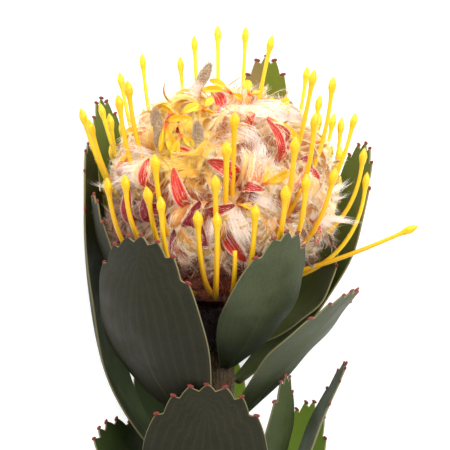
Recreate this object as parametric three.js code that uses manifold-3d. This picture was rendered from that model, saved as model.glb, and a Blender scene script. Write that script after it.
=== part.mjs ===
// A cut pincushion protea: one flower head on a short leafy stem, lying on its side on a flat surface.
// The flower's axis runs along +Y, from the cut end of the stem to the tips of the styles, and +Z is up.
// Sizes are in millimetres and angles in degrees. An azimuth is measured round the flower's axis:
// 0 points to +X, 90 straight up, 180 to -X and 270 down to the surface.
import * as THREE from "three";
import { mergeVertices } from "three/addons/utils/BufferGeometryUtils.js";
import Module from "manifold-3d";

const wasm = await Module();
wasm.setup();

// Driving dimensions.
const AXIS_HEIGHT = 47; // the flower's axis above the surface
const ORIGIN = [8.2, -9.4]; // the middle of the whole flower's outline, from the axis and the stem's top
const GAP = 0.35; // between pieces that touch
const STEM = { radius: 4.6, top: 0.6, cutEnd: -118, bend: 6, bendOver: 100, sides: 14, steps: 9 };
const RECEPTACLE = { radius: 10.5, top: 42, sides: 12 };
const CUP = { bottom: -7, rim: 8.2, wall: 4.8, rows: 4, around: 11, relief: 1.5 };
const WOOL = { centre: 44, radius: 30, top: 28.5, drop: 33, fullness: 0.5, foot: 9.4, sides: 16 };
const LOWER_TIPS = { rings: [46, 57, 68], from: 203, to: 344, count: 12, seed: 7 };
const STYLE = { radius: 0.95, neck: 0.72, sides: 3, sunk: 2.6, presenter: 5.6, presenterRadius: 1.55 };
const STYLE_STEPS = [0, 0.5, 0.66, 0.83, 1];
const PRESENTER_STEPS = [[0.3, 1], [0.66, 0.8]];
const TIPS = { centre: 50, radius: 46.5, halfHeight: 54, power: 2.33 };
const VIEW_LEAN = 12; // the seen tips are measured in a view that leans this far from straight down
const CURL = { count: 50, radius: 5.4, width: 7, thickness: 0.9, rise: 3.4, turn: 225, steps: 4 };
const TONGUE = { count: 22, length: 10, width: 4.2, thickness: 0.9, bend: 100, steps: 3 };
const BUD = { radius: 2.1, stalk: 1.1, places: [[30, 170, 24, 1], [54, 106, 14, 0], [60, 140, 14, 0.3],
  [50, 152, 14, 0.2], [40, 300, 13, 0]] };
const BLADE = { thickness: 0.8, steps: 4, base: 0.2, widestAt: 0.62, midEnd: 0.9, notch: 2.0, notchPhase: 0.24,
  lastNotchPhase: 0.5, crowding: 0.58 };
const BED_SOFTNESS = 1.8; // how gently a leaf flattens where it lies on the surface

const UP = new THREE.Vector3(0, 1, 0);
const rad = THREE.MathUtils.degToRad;
const lerp = THREE.MathUtils.lerp;

// A repeatable draw between 0 and 1.
function randomDraw(seed) {
  let state = seed * 7919 + 13;
  return () => {
    state = (state * 48271) % 2147483647;
    return state / 2147483647;
  };
}

// The direction away from the axis at an azimuth.
function outward(azimuth) {
  return new THREE.Vector3(Math.cos(rad(azimuth)), 0, Math.sin(rad(azimuth)));
}

// How far the stem's centreline has bent away from the flower's axis at height y.
function stemShift(y) {
  return y < 0 ? -STEM.bend * (y / STEM.bendOver) ** 2 : 0;
}

// A point given by its distance from the axis, its height along it and its azimuth.
function axial(r, y, azimuth) {
  return outward(azimuth)
    .multiplyScalar(r)
    .add(new THREE.Vector3(stemShift(y), y, AXIS_HEIGHT));
}

function material(color, roughness) {
  return new THREE.MeshStandardMaterial({ color, roughness, metalness: 0, side: THREE.DoubleSide });
}

// Geometry of a closed grid: rings of points, all of one length, capped by a fan at each end.
function ringSolid(rings, firstTip, lastTip) {
  const points = rings.flat();
  const n = rings[0].length;
  const faces = [];
  for (let i = 0; i + 1 < rings.length; i++)
    for (let j = 0; j < n; j++) {
      const a = i * n + j;
      const b = i * n + ((j + 1) % n);
      faces.push([a, b, b + n], [a, b + n, a + n]);
    }
  points.push(firstTip, lastTip);
  for (let j = 0; j < n; j++) {
    faces.push([points.length - 2, (j + 1) % n, j]);
    const last = (rings.length - 1) * n;
    faces.push([points.length - 1, last + j, last + ((j + 1) % n)]);
  }
  return geometryOf(points, faces);
}

// Geometry of a closed loop of rings, such as a cup with a hole through its foot.
function ringLoop(rings) {
  const n = rings[0].length;
  const total = rings.length * n;
  const faces = [];
  for (let i = 0; i < rings.length; i++)
    for (let j = 0; j < n; j++) {
      const a = i * n + j;
      const b = i * n + ((j + 1) % n);
      faces.push([a, b, (b + n) % total], [a, (b + n) % total, (a + n) % total]);
    }
  return geometryOf(rings.flat(), faces);
}

function geometryOf(points, faces) {
  const geometry = new THREE.BufferGeometry().setFromPoints(points);
  geometry.setIndex(faces.flat());
  return geometry;
}

// A manifold-3d solid of a closed geometry, turned the right way out.
function solidOf(geometry) {
  const bare = new THREE.BufferGeometry().setAttribute("position", geometry.getAttribute("position"));
  bare.setIndex(geometry.index);
  const merged = mergeVertices(bare, 1e-4);
  const triVerts = new Uint32Array(merged.index.array);
  const vertProperties = new Float32Array(merged.attributes.position.array);
  const made = new wasm.Manifold(new wasm.Mesh({ numProp: 3, vertProperties, triVerts }));
  if (made.volume() > 0) return made;
  for (let i = 0; i < triVerts.length; i += 3) {
    const second = triVerts[i + 1];
    triVerts[i + 1] = triVerts[i + 2];
    triVerts[i + 2] = second;
  }
  return new wasm.Manifold(new wasm.Mesh({ numProp: 3, vertProperties, triVerts }));
}

function fromSolid(solid) {
  const mesh = solid.getMesh();
  const positions = new Float32Array(mesh.numVert * 3);
  for (let i = 0; i < mesh.numVert; i++) {
    const start = i * mesh.numProp;
    positions.set(mesh.vertProperties.subarray(start, start + 3), i * 3);
  }
  const geometry = new THREE.BufferGeometry();
  geometry.setAttribute("position", new THREE.BufferAttribute(positions, 3));
  geometry.setIndex(new THREE.BufferAttribute(new Uint32Array(mesh.triVerts), 1));
  return geometry;
}

// A surface turned round the flower's axis, from a profile of [distance, height] pairs.
function turned(profile, sides) {
  const geometry = new THREE.LatheGeometry(
    profile.map(([r, y]) => new THREE.Vector2(r, y)),
    sides,
  );
  return geometry.translate(0, 0, AXIS_HEIGHT);
}

// A tube of few sides along points, with a radius at each, closed flat at its start and pointed at its tip.
function rod(points, radii, sides, tip = points[points.length - 1]) {
  const side = new THREE.Vector3();
  const other = new THREE.Vector3();
  const start = points[1].clone().sub(points[0]).normalize();
  side.crossVectors(start, Math.abs(start.y) < 0.9 ? UP : outward(0)).normalize();
  const rings = points.map((point, i) => {
    const ahead = points[Math.min(i + 1, points.length - 1)];
    const behind = points[Math.max(i - 1, 0)];
    const along = ahead.clone().sub(behind).normalize();
    other.crossVectors(along, side).normalize();
    side.crossVectors(other, along).normalize();
    return Array.from({ length: sides }, (_, j) => {
      const turn = (2 * Math.PI * j) / sides;
      return point
        .clone()
        .addScaledVector(side, radii[i] * Math.cos(turn))
        .addScaledVector(other, radii[i] * Math.sin(turn));
    });
  });
  return ringSolid(rings, points[0], tip);
}

// The stem: a round woody shoot, bent a little to one side, with a plain cut end.
function stemGeometry() {
  const rings = [];
  for (let i = 0; i <= STEM.steps; i++) {
    const y = lerp(STEM.cutEnd, STEM.top, i / STEM.steps);
    rings.push(
      Array.from({ length: STEM.sides }, (_, j) => axial(STEM.radius, y, (360 * j) / STEM.sides)),
    );
  }
  return fromSolid(solidOf(ringSolid(rings, axial(0, STEM.cutEnd, 0), axial(0, STEM.top, 0))));
}

// Leaves, each by its place on the stem, where its tip reaches and how its blade bends.
// base and tipY are heights, tipR the tip's distance from the axis, lean0 and lean1 the midrib's angles to
// the axis at its base and tip, width the blade's full width, cup the radius it is rolled to, roll its twist
// and sweep the sideways drift of its tip, both in degrees, and teeth the number on
// each side. Leaves attached lower on the stem lie outside the ones attached higher.
const LEAVES = [
  // name, azimuth, base, tipR, tipY, lean0, lean1, width, cup, roll, sweep, teeth
  ["front_left", 129, -34, 48.5, 40.5, 61, -1, 50, 60, -12, -8, 4],
  ["front_right", 70, -12.5, 47.0, 42, 56, 12, 29, 38, 14, -6, 3],
  ["right_back", 334.5, -20, 53.5, 59, 55, 12, 32, 60, 0, 1.5, 4],
  ["right_inner", 347, -9, 39.5, 26, 66, 8, 21, 50, 0, 0, 3],
  ["right_low", 43, -33, 54.0, 21, 44, 39, 30, 50, 4, -3.5, 4],
  ["low_front", 99.5, -86, 39.5, -8.5, 38, 12, 43, 57, 2, -3, 4],
  ["low_left", 175.5, -73, 42.0, -34.5, 57, 36, 38, 80, -35, -1.5, 4],
  ["left_tall", 220.5, -18.5, 54.5, 72.5, 63, 15, 21, 60, 0, -1, 4],
  ["left_upper", 185, -56, 45.0, 61.5, 55, 0, 36, 50, -2, 2, 4],
  ["left_inner", 163, -10, 43.5, 48, 62, 0, 22, 45, 0, 0, 3],
  ["back_right", 287, -12, 52.5, 85.5, 60, 3, 26, 60, -1, 0, 4],
  ["back_left", 255.5, -14, 55.0, 62, 60, 0, 31, 60, 0, 0, 4],
  ["back_low", 254.5, -66, 52.0, -10, 54, 8, 42, 70, 0, 0, 4],
  ["low_right_inner", 34.5, -76, 25.0, -13, 45, -2, 20, 41, 4, -2.5, 3],
  ["low_right_edge", 1, -89, 42.0, -12.5, 44, 22, 25, 50, 1, -0.5, 4],
  ["low_right_back", 318, -97, 43.5, -35, 50, 8, 27, 51, 0, 0, 4],
  ["low_back_left", 226, -90, 40.0, -46, 46, 24, 34, 80, 0, 0, 4],
].map(([name, azimuth, base, tipR, tipY, lean0, lean1, width, cup, roll, sweep, teeth]) => ({
  name, azimuth, base, tipR, tipY, lean0, lean1, width, cup, roll, sweep, teeth,
}));

// The midrib in the plane through the axis: a cubic curve from the stem to the leaf's tip.
function midrib(leaf) {
  const start = new THREE.Vector2(STEM.radius + GAP + BLADE.thickness / 2, leaf.base);
  const end = new THREE.Vector2(leaf.tipR, leaf.tipY);
  const handle = 0.4 * start.distanceTo(end);
  const toward = (lean) => new THREE.Vector2(Math.sin(rad(lean)), Math.cos(rad(lean)));
  return new THREE.CubicBezierCurve(
    start,
    start.clone().addScaledVector(toward(leaf.lean0), handle),
    end.clone().addScaledVector(toward(leaf.lean1), -handle),
    end,
  );
}

// The height of a blade pressed on the surface: unchanged well above it, lying flat on it below.
function pressed(z) {
  const level = BLADE.thickness / 2;
  const over = z - level;
  if (over >= BED_SOFTNESS) return z;
  if (over <= -BED_SOFTNESS) return level;
  return level + (over + BED_SOFTNESS) ** 2 / (4 * BED_SOFTNESS);
}

// A point of the blade's middle surface, a share s along the midrib and a millimetres to its side.
function bladePoint(leaf, curve, s, a) {
  const at = curve.getPoint(s);
  const along = curve.getTangent(s);
  const azimuth = leaf.azimuth + leaf.sweep * s * s;
  const away = outward(azimuth);
  const across = outward(azimuth + 90);
  const inward = away.clone().multiplyScalar(-along.y).addScaledVector(UP, along.x);
  const tangent = away.clone().multiplyScalar(along.x).addScaledVector(UP, along.y);
  across.applyAxisAngle(tangent, rad(leaf.roll * s));
  inward.applyAxisAngle(tangent, rad(leaf.roll * s));
  const point = away
    .multiplyScalar(at.x)
    .add(new THREE.Vector3(stemShift(leaf.base) * (1 - s), at.y, AXIS_HEIGHT))
    .addScaledVector(across, leaf.cup * Math.sin(a / leaf.cup))
    .addScaledVector(inward, leaf.cup * (1 - Math.cos(a / leaf.cup)));
  point.z = pressed(point.z);
  return point;
}

// One half of a blade, flat: rows of points from the midrib to the edge, each point [s, a].
// Below its widest place the edge is smooth. Above it the edge closes in an ellipse cut by teeth, which
// crowd towards the tip. The edge is smooth up to the first tooth, and has a notch above each one.
function bladeRows(leaf, length, sideSteps) {
  const half = leaf.width / 2;
  const rows = [];
  for (let i = 0; i <= sideSteps; i++) {
    const part = i / sideSteps;
    const s = BLADE.widestAt * part;
    const reach = half * lerp(BLADE.base, 1, Math.sin((Math.PI / 2) * part ** 1.1));
    rows.push({ mid: s, edge: [s, reach] });
  }
  for (let tooth = 0; tooth < leaf.teeth; tooth++) {
    const from = (tooth / leaf.teeth) ** BLADE.crowding;
    const to = ((tooth + 1) / leaf.teeth) ** BLADE.crowding;
    const isLast = tooth === leaf.teeth - 1;
    for (const phase of [isLast ? BLADE.lastNotchPhase : BLADE.notchPhase, 1]) {
      const part = lerp(from, to, phase);
      const s = BLADE.widestAt + (1 - BLADE.widestAt) * Math.sin((Math.PI / 2) * part);
      const a = isLast && phase === 1 ? 0 : half * Math.cos((Math.PI / 2) * part) ** 0.9;
      const mid = lerp(BLADE.widestAt, BLADE.midEnd, part);
      const cut = phase === 1 || tooth === 0 ? 0 : BLADE.notch / Math.hypot(a, (s - mid) * length);
      rows.push({ mid, edge: [lerp(s, mid, cut), lerp(a, 0, cut)] });
    }
  }
  return rows;
}

// A leaf: the blade's middle surface, thickened to both sides alike and closed round its edge.
function leafGeometry(leaf) {
  const curve = midrib(leaf);
  const length = curve.getLength();
  const rows = bladeRows(leaf, length, BLADE.steps);
  const last = rows.length - 1;
  const shares = [0, 0.55, 1];
  const flat = new Map(); // "row,column" to [s, a], with columns below 0 on the other half
  rows.forEach((row, i) =>
    shares.forEach((share, j) => {
      const s = lerp(row.mid, row.edge[0], share);
      const a = row.edge[1] * share;
      flat.set(`${i},${j}`, [s, a]);
      if (j > 0 && i < last) flat.set(`${i},${-j}`, [s, -a]);
    }),
  );
  const keys = [...flat.keys()];
  const index = new Map(keys.map((key, k) => [key, k]));
  const find = (i, j) => index.get(`${i},${i === last ? Math.abs(j) : j}`);
  const upper = [];
  const lower = [];
  const step = 0.01;
  for (const [s, a] of flat.values()) {
    const point = bladePoint(leaf, curve, s, a);
    const alongStep = s + step > 1 ? -step : step;
    const du = bladePoint(leaf, curve, s + alongStep, a).sub(point).multiplyScalar(Math.sign(alongStep));
    const dv = bladePoint(leaf, curve, s, a + 0.2).sub(point);
    const normal = du.cross(dv).normalize().multiplyScalar(BLADE.thickness / 2);
    upper.push(point.clone().add(normal));
    lower.push(point.clone().sub(normal));
  }
  const count = keys.length;
  const faces = [];
  const addFace = (a, b, c) => {
    if (a === b || b === c || a === c) return;
    faces.push([a, b, c], [a + count, c + count, b + count]);
  };
  for (let i = 0; i < last; i++)
    for (const side of [1, -1])
      for (let j = 0; j + 1 < shares.length; j++) {
        const quad = [find(i, side * j), find(i + 1, side * j), find(i + 1, side * (j + 1)), find(i, side * (j + 1))];
        if (side < 0) quad.reverse();
        addFace(quad[0], quad[1], quad[2]);
        addFace(quad[0], quad[2], quad[3]);
      }
  const rim = [];
  const edge = shares.length - 1;
  for (let i = 0; i <= last; i++) rim.push(find(i, edge));
  for (let i = last - 1; i >= 0; i--) rim.push(find(i, -edge));
  for (let j = -edge + 1; j < edge; j++) rim.push(find(0, j));
  rim.forEach((a, k) => {
    const b = rim[(k + 1) % rim.length];
    faces.push([a, b, b + count], [a, b + count, a + count]);
  });
  return fromSolid(solidOf(geometryOf([...upper, ...lower], faces)));
}

// The tips of the styles that can be seen from above: how far to the side of the axis, how far up along
// it in the leaning view, and 1 for the upper face of the dome of tips or -1 for its lower face.
const SEEN_TIPS = [
  [-46.5, 73.5, 1], [-43.5, 69.5, 1], [-41, 76, -1], [-34.5, 86.5, -1], [-30, 81, 1], [-33, 76.5, 1],
  [-27, 93, -1], [-14.5, 93, -1], [-9.5, 99.5, -1], [-1.5, 102.5, -1], [8, 102, -1], [16.5, 97, 1],
  [29, 89, -1], [29.5, 84.5, 1], [36, 83, 1], [33.5, 79.5, -1], [40.5, 71.5, -1], [44, 72, 1],
  [47, 60.5, 1], [48, 52.5, 1], [29.5, 70.5, 1], [23, 62.5, 1], [36, 53, 1], [26.5, 51, 1],
  [20, 47.5, 1], [10.5, 41.5, 1], [4, 70, 1], [1.5, 61, 1], [-2, 50.5, 1], [-1.5, 39, 1],
  [-7.5, 39.5, 1], [-19, 44, 1], [-23.5, 47, 1], [-21, 57, 1], [-36.5, 50, 1], [-30.5, 51, 1],
];

// The distance from the axis of the squarish dome that the tips lie on, at height y.
function tipDome(y) {
  const { centre, radius, halfHeight, power } = TIPS;
  const rest = 1 - Math.min(1, Math.abs(y - centre) / halfHeight) ** power;
  return radius * rest ** (1 / power);
}

// Each floret by its style's tip: distance from the axis, height and azimuth. The seen tips are set by hand.
// The ones on the lower face follow a rule: three rings, evenly spaced with a small seeded scatter.
function floretPlaces() {
  const draw = randomDraw(LOWER_TIPS.seed);
  const places = SEEN_TIPS.map(([across, up, face]) => {
    let y = up;
    let depth = 0;
    for (let i = 0; i < 20; i++) {
      depth = face * Math.sqrt(Math.max(0, tipDome(y) ** 2 - across ** 2));
      y = WOOL.centre + (up - WOOL.centre + depth * Math.sin(rad(VIEW_LEAN))) / Math.cos(rad(VIEW_LEAN));
    }
    const azimuth = THREE.MathUtils.radToDeg(Math.atan2(depth, across));
    return { r: Math.hypot(across, depth), y, azimuth };
  });
  LOWER_TIPS.rings.forEach((y, ring) => {
    for (let i = 0; i < LOWER_TIPS.count; i++) {
      const share = (i + 0.5 * (ring % 2) + 0.5 * draw()) / LOWER_TIPS.count;
      const height = y + 5 * (draw() - 0.5);
      const azimuth = lerp(LOWER_TIPS.from, LOWER_TIPS.to, share);
      places.push({ r: tipDome(height) * (0.92 + 0.04 * draw()), y: height, azimuth });
    }
  });
  return places.map((place) => ({
    ...place,
    drift: 12 * (draw() - 0.5),
    flare: lerp(4, 16, draw()),
    rise: 6 * (draw() - 0.35),
  }));
}

// A style's centreline: out of the receptacle, then bent up to its tip. Tips near the axis come from the
// top of the receptacle and low tips from its foot. Drift and rise set the root off round the receptacle
// and along it, and flare is how far the tip leans out.
function stylePath({ r, y, azimuth, drift, flare, rise }) {
  const neckR = r - STYLE.presenter * Math.sin(rad(flare));
  const neckY = y - STYLE.presenter * Math.cos(rad(flare));
  const polar = THREE.MathUtils.radToDeg(Math.atan2(r, y - 26));
  const share = Math.min(1, polar / 62);
  const root = new THREE.Vector2(
    Math.min(1, polar / 26) * (RECEPTACLE.radius - STYLE.sunk),
    lerp(RECEPTACLE.top - STYLE.sunk - 4, 15, share) + rise,
  );
  const tip = new THREE.Vector2(neckR, neckY);
  const from = rad(lerp(0, 92, share ** 1.2));
  const to = rad(flare);
  const reach = 0.42 * root.distanceTo(tip);
  const curve = new THREE.CubicBezierCurve(
    root,
    root.clone().add(new THREE.Vector2(Math.sin(from), Math.cos(from)).multiplyScalar(reach)),
    tip.clone().sub(new THREE.Vector2(Math.sin(to), Math.cos(to)).multiplyScalar(reach)),
    tip,
  );
  return (u) => {
    const at = curve.getPoint(u);
    return axial(at.x, at.y, azimuth + drift * (1 - u) ** 2);
  };
}

// The one style that has fallen out to the side, and the stump of one that has broken off in front.
const STRAY = { azimuth: 10, points: [[5, 16], [28, 21], [45, 27.5], [60, 34.5]] };
const STUMP = { azimuth: 84, points: [[5, 15], [30, 17], [38.5, 28], [39.5, 35]] };

function looseStyleGeometry({ azimuth, points }, presenter, margin = 0) {
  const along = points.map(([r, y]) => axial(r, y, azimuth));
  const radii = along.map(() => STYLE.radius + margin);
  const end = along[along.length - 1];
  const direction = end.clone().sub(along[along.length - 2]).normalize();
  for (const [share, radius] of presenter ? PRESENTER_STEPS : []) {
    along.push(end.clone().addScaledVector(direction, STYLE.presenter * share));
    radii.push(STYLE.presenterRadius * radius + margin);
  }
  const length = presenter ? STYLE.presenter + margin : 0.1 + margin;
  return rod(along, radii, STYLE.sides, end.clone().addScaledVector(direction, length));
}

// A style and its pollen presenter, the swollen spindle at its tip, grown by a margin all over.
function styleGeometry(path, margin = 0) {
  const points = STYLE_STEPS.map(path);
  const radii = STYLE_STEPS.map((u) => lerp(STYLE.radius, STYLE.neck, u) + margin);
  const neck = points[points.length - 1];
  const along = neck.clone().sub(points[points.length - 2]).normalize();
  for (const [share, radius] of PRESENTER_STEPS) {
    points.push(neck.clone().addScaledVector(along, STYLE.presenter * share));
    radii.push(STYLE.presenterRadius * radius + margin);
  }
  return rod(points, radii, STYLE.sides, neck.clone().addScaledVector(along, STYLE.presenter + margin));
}

// The receptacle: the firm cone in the middle of the head, that every floret stands on.
function receptacleGeometry() {
  const { radius, top, sides } = RECEPTACLE;
  return turned(
    [[0, STEM.top + GAP], [0.62 * radius, STEM.top + GAP], [radius, 12], [0.96 * radius, 24],
      [0.74 * radius, 35], [0, top]],
    sides,
  );
}

// The involucre: a thick cup under the head, covered in rows of short pointed bracts that overlap.
// Each row is two rings. The lower one is tucked in under the row below it, and the upper one juts out at
// the bracts' tips and falls back between them.
function involucreGeometry() {
  const { bottom, rim, wall, rows, around, relief } = CUP;
  const clear = STEM.radius + 2.2 * GAP;
  const inside = (y) => lerp(0.62 * RECEPTACLE.radius, RECEPTACLE.radius, (y - STEM.top) / 11.4) + 2 * GAP;
  const outside = (y) =>
    lerp(clear + 1.4, inside(rim) + wall, Math.min(1, Math.max(0, (y - bottom) / (rim - bottom))) ** 0.7);
  const ring = (at) => Array.from({ length: 2 * around }, (_, j) => {
    const [r, y] = at(j);
    return axial(r, y, (180 * j) / around);
  });
  const rings = [ring(() => [clear, bottom])];
  for (let row = 0; row < rows; row++) {
    const low = lerp(bottom, rim, row / rows);
    const high = lerp(bottom, rim, (row + 1) / rows);
    rings.push(ring(() => [outside(low), low]));
    rings.push(ring((j) => {
      const tip = (j + row) % 2 === 0;
      return [outside(high) + (tip ? relief : 0.5), high + (tip ? 1.1 : -1.1)];
    }));
  }
  rings.push(ring(() => [inside(rim) + 1.2, rim - 0.4]));
  rings.push(ring(() => [inside(rim - 1.6), rim - 1.6]));
  rings.push(ring(() => [inside(STEM.top), STEM.top]));
  rings.push(ring(() => [clear, STEM.top - 0.5]));
  return fromSolid(solidOf(ringLoop(rings)));
}

// A point of the woolly body's outline at a polar angle from its top: an ellipse above its widest place,
// and fuller than an ellipse below it.
function woolOutline(polar) {
  const { centre, radius, top, drop, fullness } = WOOL;
  const round = Math.sin(rad(polar));
  const height = Math.cos(rad(polar));
  const at = polar <= 90 ? [radius * round, centre + top * height] : [radius * round ** fullness, centre + drop * height];
  return new THREE.Vector2(...at);
}

// The woolly body of the head: the packed, hairy flower tubes, hollow only for the receptacle.
function woolGeometry() {
  const widest = RECEPTACLE.radius;
  const inner = [[0, RECEPTACLE.top + 1.4 * GAP], [0.74 * widest + 1.4 * GAP, 35.4],
    [0.96 * widest + 1.2 * GAP, 24.2], [widest + 1.2 * GAP, 12], [widest + 1.2 * GAP, WOOL.foot]];
  const outer = [168, 148, 124, 100, 76, 54, 33, 14].map((polar) => woolOutline(polar).toArray());
  return turned([...inner, ...outer, [0, WOOL.centre + WOOL.top]], WOOL.sides);
}

// A flat ribbon along points: a wide four-sided strip that lies across the given side direction,
// closed flat at its start and pointed at its tip.
function ribbon(points, widths, thickness, side, tip) {
  const rings = points.map((point, i) => {
    const ahead = i + 1 < points.length ? points[i + 1] : tip;
    const along = ahead.clone().sub(points[Math.max(i - 1, 0)]).normalize();
    const face = new THREE.Vector3().crossVectors(along, side).normalize();
    return [[1, 1], [-1, 1], [-1, -1], [1, -1]].map(([w, t]) =>
      point
        .clone()
        .addScaledVector(side, (w * widths[i]) / 2)
        .addScaledVector(face, (t * thickness) / 2),
    );
  });
  return ringSolid(rings, points[0], tip);
}

// A place on the woolly body: its surface point, its outward normal and a tangent turned by an angle.
function woolPlace(polar, azimuth, turn) {
  const at = woolOutline(polar);
  const down = woolOutline(polar + 1).sub(woolOutline(polar - 1)).normalize();
  const normal = outward(azimuth).multiplyScalar(-down.y).addScaledVector(UP, down.x);
  const tangent = outward(azimuth).multiplyScalar(down.x).addScaledVector(UP, down.y);
  return { point: axial(at.x, at.y, azimuth), normal, tangent: tangent.applyAxisAngle(normal, rad(turn)) };
}

// Evenly scattered places over the woolly body, from its top down to a widest polar angle.
function scattered(count, widest, seed, phase) {
  const draw = randomDraw(seed);
  return Array.from({ length: count }, (_, i) => {
    const share = (i + 0.5) / count;
    const polar = THREE.MathUtils.radToDeg(Math.acos(1 - share * (1 - Math.cos(rad(widest)))));
    return {
      polar: polar + 6 * (draw() - 0.5),
      azimuth: phase + i * 137.508 + 14 * (draw() - 0.5),
      turn: 360 * draw(),
      size: lerp(0.8, 1.15, draw()),
    };
  });
}

// A curled perianth's centreline: it rises from the head and rolls over into an open coil.
function curlPoints({ polar, azimuth, size }, turn) {
  const { point, normal, tangent } = woolPlace(polar, azimuth, turn);
  const radius = CURL.radius * size;
  const centre = point.clone().addScaledVector(normal, CURL.rise).addScaledVector(tangent, radius);
  const points = [point.clone().addScaledVector(normal, -3)];
  for (let i = 0; i <= CURL.steps; i++) {
    const share = i / CURL.steps;
    const angle = rad(CURL.turn * share);
    const r = radius * (1 - 0.38 * share);
    points.push(
      centre
        .clone()
        .addScaledVector(tangent, -r * Math.cos(angle))
        .addScaledVector(normal, r * Math.sin(angle)),
    );
  }
  return { points, side: new THREE.Vector3().crossVectors(normal, tangent) };
}

// The centreline of a tongue-shaped flap of a split perianth, bent over less than a curl.
function tonguePoints({ polar, azimuth, size }, turn) {
  const { point, normal, tangent } = woolPlace(polar, azimuth, turn);
  const points = [point.clone().addScaledVector(normal, -2)];
  const step = (TONGUE.length * size) / TONGUE.steps;
  for (let i = 0; i <= TONGUE.steps; i++) {
    const angle = rad((TONGUE.bend * (i + 0.3)) / TONGUE.steps);
    points.push(
      points[points.length - 1]
        .clone()
        .addScaledVector(normal, step * Math.cos(angle) + (i ? 0 : 2))
        .addScaledVector(tangent, step * Math.sin(angle)),
    );
  }
  return { points, side: new THREE.Vector3().crossVectors(normal, tangent) };
}

// A ribbon on the head, turned whichever way keeps it clearest of the styles and of the ribbons before it.
function clearRibbon(place, makePoints, widthAt, thickness, taken) {
  let best = { room: -1 };
  for (let turn = place.turn; turn < place.turn + 360; turn += 30) {
    const { points, side } = makePoints(place, turn);
    const room = Math.min(...taken.map((other) => Math.min(...points.map((p) => p.distanceTo(other)))));
    if (room > best.room) best = { room, points, side };
  }
  const { points, side } = best;
  taken.push(...points.slice(2));
  const tip = points.pop();
  return ribbon(points, points.map((_, i) => widthAt(i / points.length) * place.size), thickness, side, tip);
}

// An unopened floret: a furry closed bud on a stalk that stands out from the head, leaning to one side.
function budGeometry([polar, azimuth, length, lean]) {
  const { point, normal } = woolPlace(polar, azimuth, 0);
  const along = normal.multiplyScalar(0.5).add(UP).addScaledVector(outward(0), lean).normalize();
  const steps = [[-4, BUD.stalk], [length - 8.5, BUD.stalk], [length - 5.5, BUD.radius],
    [length - 2, 0.8 * BUD.radius]];
  const points = steps.map(([distance]) => point.clone().addScaledVector(along, distance));
  const tip = point.clone().addScaledVector(along, length);
  return rod(points, steps.map(([, radius]) => radius), 5, tip);
}

// The perianths: the woolly body with its curls, flaps and buds, and a tunnel round each style.
function perianthsGeometry(paths) {
  const taken = paths.flatMap((path) => [0.5, 0.58, 0.66, 0.74, 0.82].map(path));
  const curlWidth = (share) => CURL.width * (share === 0 ? 0.7 : lerp(1, 0.6, share));
  const tongueWidth = (share) => TONGUE.width * (share === 0 ? 0.6 : 1);
  const pieces = [
    woolGeometry(),
    ...scattered(CURL.count, 112, 3, 20).map((place) =>
      clearRibbon(place, curlPoints, curlWidth, CURL.thickness, taken),
    ),
    ...scattered(TONGUE.count, 104, 5, 81).map((place) =>
      clearRibbon(place, tonguePoints, tongueWidth, TONGUE.thickness, taken),
    ),
    ...BUD.places.map(budGeometry),
  ];
  const solid = wasm.Manifold.union(pieces.map(solidOf));
  const cutters = [
    ...paths.map((path) => styleGeometry(path, GAP)),
    looseStyleGeometry(STRAY, true, GAP),
    looseStyleGeometry(STUMP, false, GAP),
  ];
  const open = solid.subtract(wasm.Manifold.union(cutters.map(solidOf)));
  const bodies = open.decompose().sort((a, b) => b.volume() - a.volume());
  return fromSolid(bodies[0]);
}

function part() {
  const group = new THREE.Group();
  const add = (name, geometry, finish) => {
    const mesh = new THREE.Mesh(geometry.translate(-ORIGIN[0], -ORIGIN[1], 0), finish);
    mesh.name = name;
    group.add(mesh);
  };
  add("stem", stemGeometry(), material(0x5d5a3c, 0.8));
  const leafFinish = material(0x47533a, 0.55);
  for (const leaf of LEAVES) add(`leaf_${leaf.name}`, leafGeometry(leaf), leafFinish);
  add("involucre", involucreGeometry(), material(0x4a2a33, 0.85));
  const paths = floretPlaces().map(stylePath);
  const styles = [
    receptacleGeometry(),
    ...paths.map((path) => styleGeometry(path)),
    looseStyleGeometry(STRAY, true),
    looseStyleGeometry(STUMP, false),
  ];
  add("styles", fromSolid(wasm.Manifold.union(styles.map(solidOf))), material(0xf5c911, 0.35));
  add("perianths", perianthsGeometry(paths), material(0xe9b894, 0.9));
  return group;
}

export default part();
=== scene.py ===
"""The looks of a cut pincushion protea, lying on a pale floor and seen from above.

Every piece is worked out in millimetres from the flower's axis, as the part's source does, and set down in
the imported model's frame in metres. The axis runs along +Y from the cut end of the stem to the tips of the
styles, and an azimuth is measured round it: 0 points to +X, 90 straight up and 270 down to the floor.
"""

import logging
from dataclasses import dataclass, field
from enum import Enum
from typing import Any

import bmesh
import bpy
import numpy as np
from mathutils import Matrix, Vector


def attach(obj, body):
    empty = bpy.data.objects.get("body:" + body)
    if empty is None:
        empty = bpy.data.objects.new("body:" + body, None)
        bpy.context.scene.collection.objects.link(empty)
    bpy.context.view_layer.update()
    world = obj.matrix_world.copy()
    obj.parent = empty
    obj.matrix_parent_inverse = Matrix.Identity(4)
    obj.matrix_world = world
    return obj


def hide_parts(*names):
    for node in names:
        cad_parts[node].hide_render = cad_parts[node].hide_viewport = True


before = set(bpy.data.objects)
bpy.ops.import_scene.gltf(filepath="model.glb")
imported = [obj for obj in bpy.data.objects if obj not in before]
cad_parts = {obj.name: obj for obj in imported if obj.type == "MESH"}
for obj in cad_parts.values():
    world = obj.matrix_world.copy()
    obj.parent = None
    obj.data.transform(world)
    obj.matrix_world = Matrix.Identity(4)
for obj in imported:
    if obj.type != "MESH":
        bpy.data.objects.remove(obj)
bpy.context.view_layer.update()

LOG = logging.getLogger("protea")
Array = np.ndarray
Colour = tuple[float, float, float]

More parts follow.
